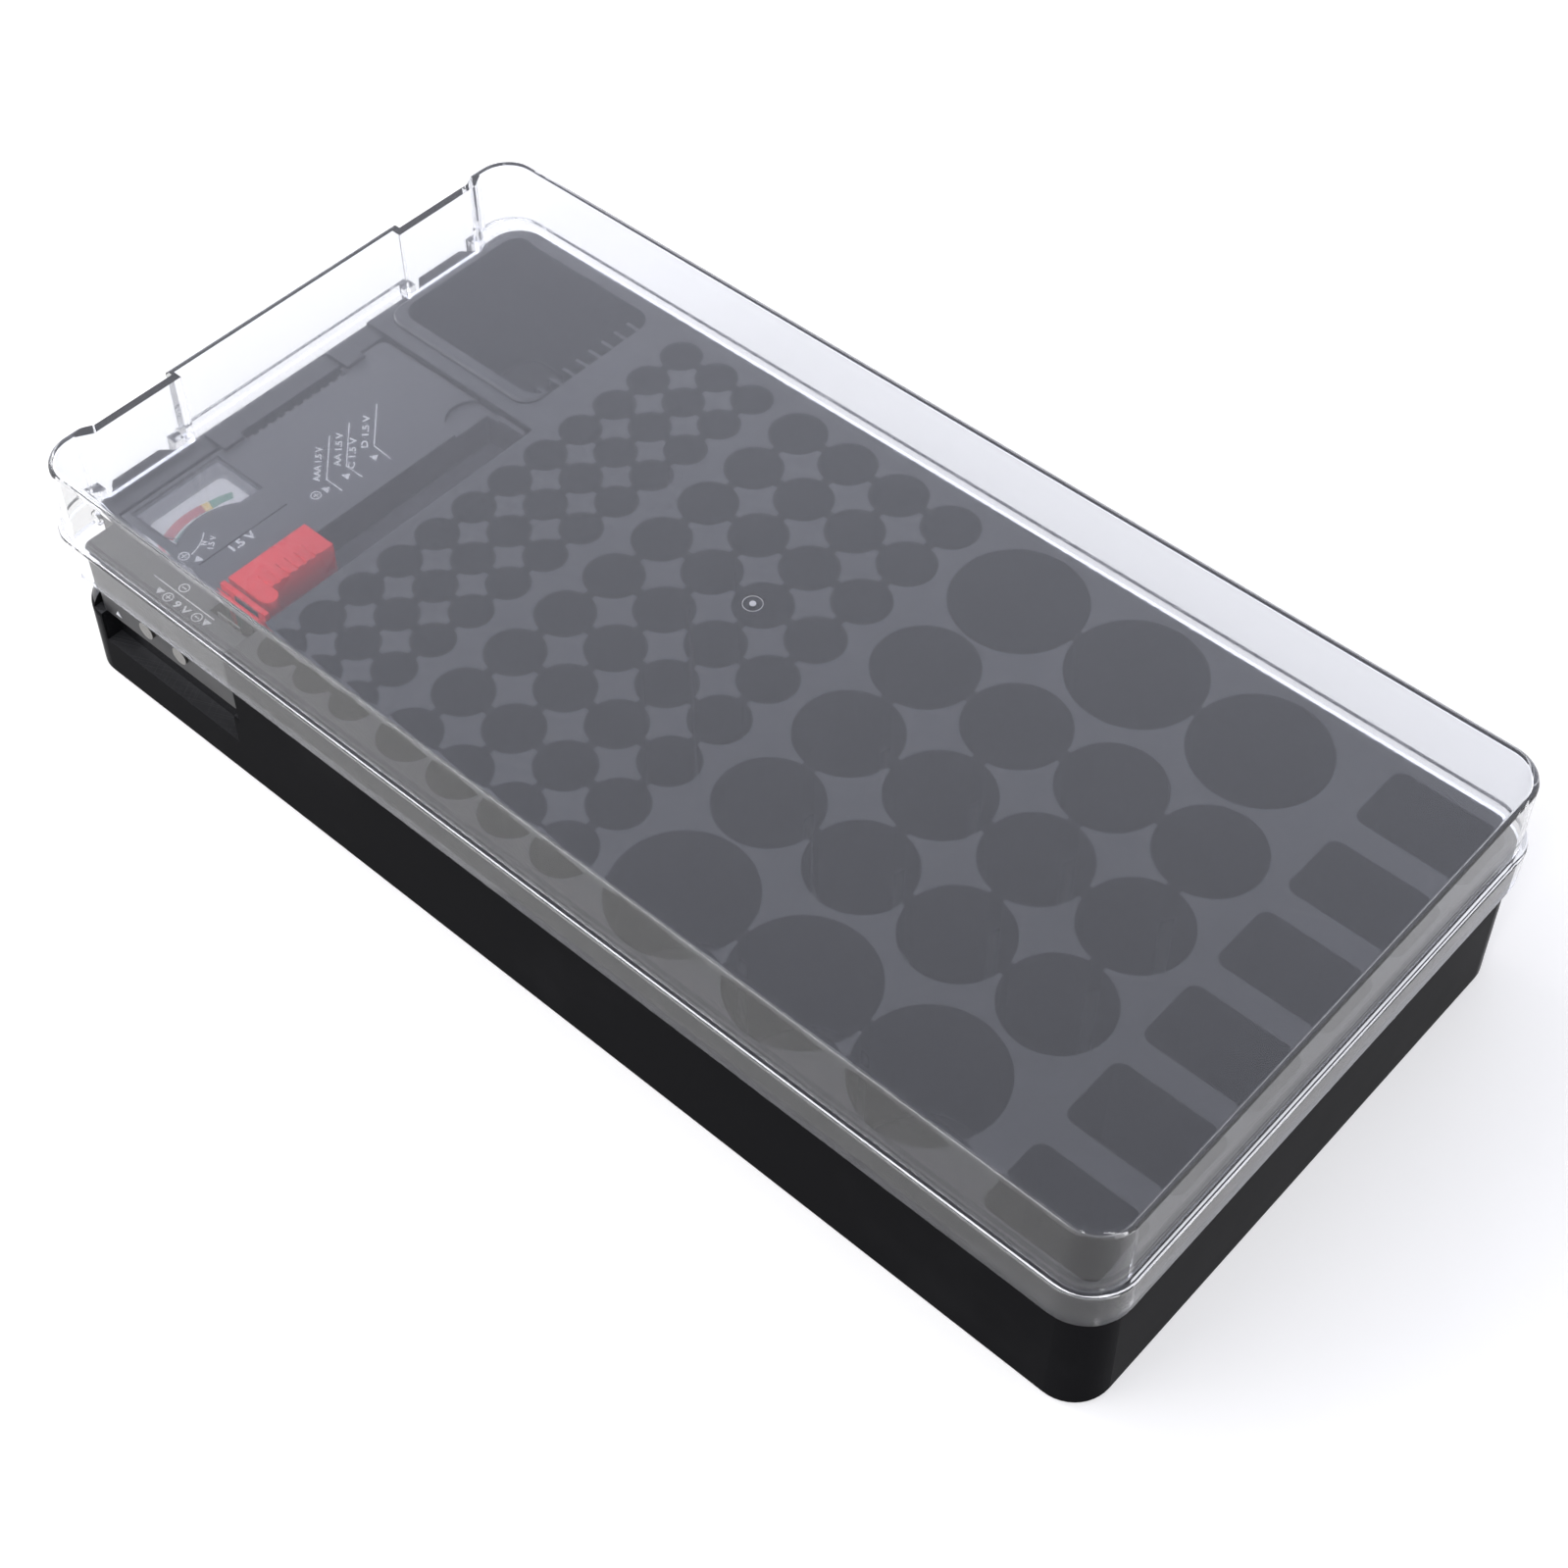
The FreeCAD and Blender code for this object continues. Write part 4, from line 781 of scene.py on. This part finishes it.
@dataclass
class PocketMarks:
    """The round ejector marks on the floors of the cell pockets and under the tray."""

    tall: float = 0.12
    sides: int = 20
    fields: dict[str, MarkField] = field(default_factory=lambda: {
        "aaa_floor_marks": MarkField((-88.32, -68.86), (12.52, 12.52), (3, 12), 2.0, 1.6),
        "aa_floor_marks": MarkField((-45.83, -67.24), (16.81, 16.81), (4, 9), 2.0, 2.2),
        "c_floor_marks": MarkField((29.65, -27.54), (27.54, 27.54), (4, 3), 2.0, 3.5),
        "d_floor_marks": MarkField((32.65, -58.94), (35.4, 117.88), (3, 2), 2.0, 4.5),
        "nine_volt_floor_marks": MarkField((144.47, -65.88), (0.0, 26.35), (1, 6), 2.0, 2.5),
        "under_marks": MarkField((-130.0, -55.0), (52.0, 55.0), (6, 3), 0.8, 4.0),
    })

    def build(self) -> None:
        """Stamp every field into the tray's plastic."""
        for name, marks in self.fields.items():
            weave = weave_stamps(marks.radius, self.tall, self.sides)
            dots = paths_mesh([[point] for point in marks.points()], marks.level)
            new_piece(name, weave.run(dots, "black_plastic"), Body.CASE, "black_plastic")


@dataclass
class TesterPrint:
    """The pale print on the tester's top face."""

    face: float = 43.5
    ink: float = 0.06
    line: float = 0.34
    ring: float = 1.3
    sign: float = 0.75
    ring_steps: int = 24
    arrow: Span = (1.25, 1.9)
    callouts: tuple[tuple[Point, ...], ...] = (
        ((-135.7, -12.0), (-124.3, -23.2), (-118.4, -23.3)),
        ((-135.6, -5.3), (-124.2, -16.6), (-118.3, -16.6)),
        ((-135.6, 4.2), (-124.5, -6.9), (-117.9, -7.3)),
        ((-131.3, -72.5), (-108.8, -72.5)),
    )
    small_cell: tuple[Point, Point, Point] = ((-132.8, -56.1), (-130.0, -59.0), (-129.3, -63.0))
    leader_steps: int = 10
    rings: tuple[tuple[Point, Sign], ...] = (
        ((-122.0, -28.8), Sign.PLUS), ((-130.2, -64.6), Sign.PLUS),
        ((-122.4, -70.4), Sign.MINUS), ((-123.0, -75.0), Sign.PLUS),
        ((-112.6, -74.7), Sign.MINUS),
    )
    arrows: tuple[tuple[Point, Aim], ...] = (
        ((-121.7, -25.4), Aim.FAR), ((-121.5, -18.7), Aim.FAR), ((-121.3, -9.4), Aim.FAR),
        ((-126.8, -63.2), Aim.NEAR), ((-126.2, -75.2), Aim.NEAR), ((-109.6, -74.6), Aim.NEAR),
    )
    labels: tuple[Label, ...] = (
        Label("AAA 1.5 V", (-125.2, -24.8), 135.0, 1.7, 12.6),
        Label("AA 1.5 V", (-125.4, -17.6), 135.0, 1.7, 12.4),
        Label("C 1.5 V", (-121.9, -16.0), 135.0, 1.7, 11.6),
        Label("D 1.5 V", (-125.1, -8.6), 135.0, 1.7, 12.2),
        Label("1.5 V", (-122.3, -56.0), 90.0, 2.5, 7.6),
        Label("N", (-129.0, -58.6), 128.0, 1.5, 1.4),
        Label("1.5 V", (-126.6, -58.6), 128.0, 1.5, 4.6),
        Label("9 V", (-120.4, -76.1), 0.0, 2.1, 5.2),
    )

    def ring_paths(self, centre: Point, sign: Sign) -> list[list[Point]]:
        """A ring and the sign inside it.

        Args:
            centre: Middle of the ring.
            sign: What stands in it.

        Returns:
            The paths of their strokes.
        """
        x, y = centre
        paths = [circle(centre, self.ring, self.ring_steps),
                 [(x - self.sign, y), (x + self.sign, y)]]
        if sign is Sign.PLUS:
            paths.append([(x, y - self.sign), (x, y + self.sign)])
        return paths

    def leader(self) -> list[Point]:
        """The bent line of the small cell."""
        points = []
        for step in range(self.leader_steps + 1):
            share = step / self.leader_steps
            weights = ((1 - share) ** 2, 2 * share * (1 - share), share ** 2)
            points.append(tuple(sum(weight * place for weight, place in zip(weights, places))
                                for places in zip(*self.small_cell)))
        return points

    def strokes(self) -> bpy.types.Mesh:
        """Every line, ring and sign as flat strokes."""
        paths = [list(path) for path in self.callouts] + [self.leader()]
        for centre, sign in self.rings:
            paths += self.ring_paths(centre, sign)
        weave = weave_strokes(self.line, self.ink)
        return weave.run(paths_mesh(paths, self.face), "print_grey")

    def arrow_heads(self) -> bpy.types.Mesh:
        """The filled arrow heads."""
        half, tall = self.arrow
        outlines = []
        for (x, y), aim in self.arrows:
            corners = ((-half, -tall / 2), (half, -tall / 2), (0.0, tall / 2))
            outlines.append([(x + aim.value * dx, y + aim.value * dy) for dx, dy in corners])
        return slab(outlines, self.face - self.ink / 2, self.face + self.ink / 2)

    def build(self) -> None:
        """Print it all."""
        new_piece("tester_lines", self.strokes(), Body.CASE, "print_grey")
        new_piece("tester_arrows", self.arrow_heads(), Body.CASE, "print_grey")
        letters = join([label.make(self.face, self.ink) for label in self.labels])
        new_piece("tester_labels", letters, Body.CASE, "print_grey")


@dataclass
class MeterFace:
    """The printed scale on the dial and the sloping surround that frames it."""

    pivot: Point = (-121.62, -53.04)
    level: float = 40.31
    ink: float = 0.04
    inner: float = 19.3
    outer: float = 22.2
    zones: tuple[tuple[str, float, float], ...] = (
        ("scale_red", -26.0, 11.0), ("scale_yellow", 11.0, 16.5), ("scale_green", 16.5, 33.0))
    taper_in: float = 1.6
    taper_out: float = 1.0
    white_arc: Span = (18.9, 0.28)
    teal_arc: Span = (18.2, 1.0)
    arc_span: Span = (-27.0, 24.0)
    steps: int = 14
    hole: tuple[float, float, float, float] = (-150.52, -135.02, -63.04, -36.84)
    hole_arc: float = 17.0
    gap: float = 0.06
    slopes: tuple[float, float, float, float] = (3.0, 0.0, 0.4, 1.5)
    corner: Span = (0.4, 2.2)
    rim: float = 42.22
    foot: float = 40.34

    def bearing(self, above: float) -> float:
        """The turn of a place on the scale, which is in degrees above the line to the left."""
        return 180.0 - above

    def zone(self, first: float, last: float, tapered: bool) -> list[Point]:
        """The outline of one stretch of the coloured band.

        Args:
            first: Where it starts on the scale.
            last: Where it ends.
            tapered: Whether it moves outwards and narrows towards its end.

        Returns:
            Its corners.
        """
        points = []
        for radius, change, way in ((self.outer, self.taper_out, 1),
                                    (self.inner, self.taper_in, -1)):
            run = []
            for step in range(self.steps + 1):
                share = step / self.steps
                grown = radius + (change * share if tapered else 0.0)
                turn = self.bearing(first + (last - first) * share)
                run.append(on_circle(self.pivot, grown, turn))
            points += run[::way]
        return points[::-1]

    def arc_strip(self, radius: float, wide: float) -> list[Point]:
        """The outline of a thin arc.

        Args:
            radius: Its middle radius.
            wide: Its width.

        Returns:
            Its corners.
        """
        low, high = (self.bearing(turn) for turn in self.arc_span)
        inside = arc(self.pivot, radius - wide / 2, low, high, 2 * self.steps)
        outside = arc(self.pivot, radius + wide / 2, low, high, 2 * self.steps)
        return inside + outside[::-1]

    def loop(self, slopes: tuple[float, ...], turn: float) -> list[Point]:
        """An outline inside the window's hole, with its round side about the pivot.

        Args:
            slopes: How far it stands in from the left, right, near and far sides.
            turn: Radius of its two left corners.

        Returns:
            Its points, the same number for any sizes.
        """
        left, right, near, far = self.hole
        left, right = left + self.gap + slopes[0], right - self.gap - slopes[1]
        near, far = near + self.gap + slopes[2], far - self.gap - slopes[3]
        reach = self.hole_arc + self.gap
        x, y = self.pivot
        low = math.degrees(math.atan2(near - y, -math.sqrt(reach ** 2 - (near - y) ** 2))) % 360.0
        high = math.degrees(math.atan2(math.sqrt(reach ** 2 - (right - x) ** 2), right - x))
        return (arc((left + turn, near + turn), turn, 270.0, 180.0, self.steps)
                + arc((left + turn, far - turn), turn, 180.0, 90.0, self.steps)
                + [(right, far)] + arc(self.pivot, reach, high, low, 2 * self.steps))

    def surround(self) -> bpy.types.Mesh:
        """A frame that slopes from the window down to the dial."""
        wide = self.loop((0.0, 0.0, 0.0, 0.0), self.corner[0])
        tight = self.loop(self.slopes, self.corner[1])
        shape = bmesh.new()
        rings = [[shape.verts.new((x * MM, y * MM, z * MM)) for x, y in outline]
                 for outline, z in ((wide, self.rim), (tight, self.foot), (wide, self.foot))]
        for ring, after in ((0, 1), (1, 2), (2, 0)):
            stitch(shape, rings[ring], rings[after])
        bmesh.ops.remove_doubles(shape, verts=shape.verts, dist=NEARLY)
        return as_mesh(shape)

    def build(self) -> None:
        """Print the scale and set the surround in."""
        low, high = self.level - self.ink / 2, self.level + self.ink / 2
        for finish, first, last in self.zones:
            tapered = finish == "scale_green"
            new_piece(finish + "_zone", slab([self.zone(first, last, tapered)], low, high),
                      Body.CASE, finish)
        for name, (radius, wide) in (("white", self.white_arc), ("teal", self.teal_arc)):
            new_piece(f"scale_{name}_arc", slab([self.arc_strip(radius, wide)], low, high),
                      Body.CASE, f"scale_{name}")
        new_piece("meter_surround", self.surround(), Body.CASE, "surround_grey")


@dataclass
class LidMarks:
    """The gate mark in the middle of the lid's top, a nib with a shallow ring round it."""

    top: float = 68.1
    nib: Span = (0.8, 0.3)
    ring: float = 2.4
    ring_line: float = 0.14
    ring_thick: float = 0.075
    sides: int = 32

    def build(self) -> None:
        """Stamp the mark into the clear plastic."""
        radius, tall = self.nib
        nib = weave_stamps(radius, tall, self.sides).run(
            paths_mesh([[(0.0, 0.0)]], self.top), "gate_haze")
        new_piece("lid_gate_nib", nib, Body.LID, "gate_haze")
        path = circle((0.0, 0.0), self.ring, self.sides)
        ring = weave_strokes(self.ring_line, self.ring_thick).run(
            paths_mesh([path], self.top), "gate_haze")
        new_piece("lid_gate_ring", ring, Body.LID, "gate_haze")


@dataclass
class CornerArrow:
    """The small moulded arrow on the tester's near face, its pale ink a painted glint."""

    place: Place = (-144.8, -78.14, 24.2)
    half: float = 1.1
    tall: float = 1.9
    thick: float = 0.3

    def build(self) -> None:
        """Stand the arrow on the face."""
        x, y, z = self.place
        corners = [(x - self.half, z - self.tall / 2), (x + self.half, z - self.tall / 2),
                   (x, z + self.tall / 2)]
        shape = bmesh.new()
        rings = [[shape.verts.new((px * MM, (y + dy) * MM, pz * MM)) for px, pz in corners]
                 for dy in (self.thick / 2, -self.thick / 2)]
        shape.faces.new(rings[0])
        shape.faces.new(rings[1][::-1])
        stitch(shape, *rings)
        # Pale print ink on the moulded arrow: painted highlight where a glint shows
        new_piece("corner_arrow_painted_glint", as_mesh(shape), Body.CASE, "print_grey")


@dataclass(frozen=True)
class Lamp:
    """A soft rectangular lamp: its place and size in metres and its power in watts."""

    place: Place
    size: Span
    power: float

    def make(self, name: str) -> None:
        """Hang the lamp and turn it to the case."""
        lamp = bpy.data.lights.new(name, "AREA")
        lamp.shape = "RECTANGLE"
        lamp.size, lamp.size_y = self.size
        lamp.energy = self.power
        holder = bpy.data.objects.new(name, lamp)
        bpy.context.scene.collection.objects.link(holder)
        holder.location = self.place
        holder.rotation_euler = (-Vector(self.place)).to_track_quat("-Z", "Y").to_euler()


@dataclass
class Studio:
    """Pale floor, white surroundings, soft lamps and the photograph's camera.

    sky holds two heights of a direction and the strengths there, floor_glow two distances
    in metres and the glows there, and soft is the share of the sky's light that isn't seen.
    """

    floor_size: float = 6.0
    soft: float = 0.6
    sky: tuple[float, float, float, float] = (0.58, 0.85, 1.65, 0.88)
    sky_colour: Colour = (0.93, 0.95, 1.09)
    floor_colour: Colour = (0.76, 0.75, 0.72)
    floor_glow: tuple[float, float, float, float] = (0.2, 1.2, 0.3, 1.0)
    floor_roughness: float = 0.9
    camera_at: Place = (283.2, -304.0, 507.3)
    camera_turn: Place = (39.488, 0.107, 41.871)
    view_angle: float = 33.14
    nearest_seen: float = 0.01
    lamps: dict[str, Lamp] = field(default_factory=lambda: {
        "key": Lamp((-1.45, -0.2, 0.8), (0.8, 0.7), 13.0),
        "strip": Lamp((0.75, -0.25, 0.9), (0.12, 0.7), 2.2),
        "fill": Lamp((-0.9, -0.8, 0.9), (1.0, 0.8), 3.0),
        "front": Lamp((-0.65, -1.05, 0.6), (1.2, 0.22), 5.0),
        "glint": Lamp((0.35, -0.95, 0.75), (0.16, 0.16), 1.6),
    })

    def build(self) -> None:
        """Make the floor, the world, the lamps and the camera."""
        self.make_world()
        self.make_floor()
        for name, lamp in self.lamps.items():
            lamp.make(name)
        self.make_camera()
        bpy.context.scene.view_settings.view_transform = "Standard"

    def seen(self, tree: bpy.types.NodeTree) -> bpy.types.NodeSocket:
        """1 for what the camera sees, straight, mirrored or through something clear."""
        rays = add_node(tree, "ShaderNodeLightPath").outputs
        joined = rays["Is Camera Ray"]
        for kind in ("Is Glossy Ray", "Is Transmission Ray"):
            joined = add_node(tree, "ShaderNodeMath", {0: joined, 1: rays[kind]},
                              operation="MAXIMUM").outputs[0]
        return joined

    def make_world(self) -> None:
        """White where it is seen, brightest low down, and softer where it only lights."""
        world = bpy.data.worlds.new("studio")
        world.use_nodes = True
        bpy.context.scene.world = world
        tree = world.node_tree
        share = add_node(tree, "ShaderNodeMapRange", {
            "Value": self.seen(tree), "To Min": self.soft})
        towards = add_node(tree, "ShaderNodeTexCoord")
        parts = add_node(tree, "ShaderNodeSeparateXYZ", {0: towards.outputs["Generated"]})
        limits = zip(("From Min", "From Max", "To Min", "To Max"), self.sky)
        rise = add_node(tree, "ShaderNodeMapRange", {"Value": parts.outputs["Z"], **dict(limits)})
        strength = add_node(tree, "ShaderNodeMath", {
            0: share.outputs["Result"], 1: rise.outputs["Result"]}, operation="MULTIPLY")
        backdrop = tree.nodes["Background"]
        put(tree, backdrop.inputs["Color"], (*self.sky_colour, 1.0))
        put(tree, backdrop.inputs["Strength"], strength.outputs[0])

    def make_floor(self) -> None:
        """A wide pale floor that keeps the case's shadow."""
        half = self.floor_size / 2
        mesh = bpy.data.meshes.new("floor")
        mesh.from_pydata([(-half, -half, 0), (half, -half, 0), (half, half, 0), (-half, half, 0)],
                         [], [(0, 1, 2, 3)])
        floor = bpy.data.objects.new("floor", mesh)
        bpy.context.scene.collection.objects.link(floor)
        recipe = Recipe("floor")
        glow = recipe.span(recipe.vector("LENGTH", recipe.place), *self.floor_glow)
        recipe.set(Base_Color=(*self.floor_colour, 1.0), Roughness=self.floor_roughness,
                   Emission_Color=(1.0, 1.0, 1.0, 1.0),
                   Emission_Strength=recipe.combine(self.seen(recipe.tree), glow, "MULTIPLY"))
        mesh.materials.append(recipe.material)

    def make_camera(self) -> None:
        """The camera, where it was fitted to the pockets in the photograph."""
        camera = bpy.data.cameras.new("camera")
        camera.lens = camera.sensor_width / 2 / math.tan(math.radians(self.view_angle) / 2)
        camera.clip_start = self.nearest_seen
        holder = bpy.data.objects.new("camera", camera)
        bpy.context.scene.collection.objects.link(holder)
        holder.location = [value * MM for value in self.camera_at]
        holder.rotation_euler = [math.radians(value) for value in self.camera_turn]
        bpy.context.scene.camera = holder


def main() -> None:
    """Build every piece, then the studio."""
    logging.basicConfig(level=logging.INFO, format="%(message)s")
    dress_nodes()
    for assembly in (PocketMarks(), TesterPrint(), MeterFace(), LidMarks(), CornerArrow()):
        assembly.build()
    Studio().build()


if __name__ == "__main__":
    main()
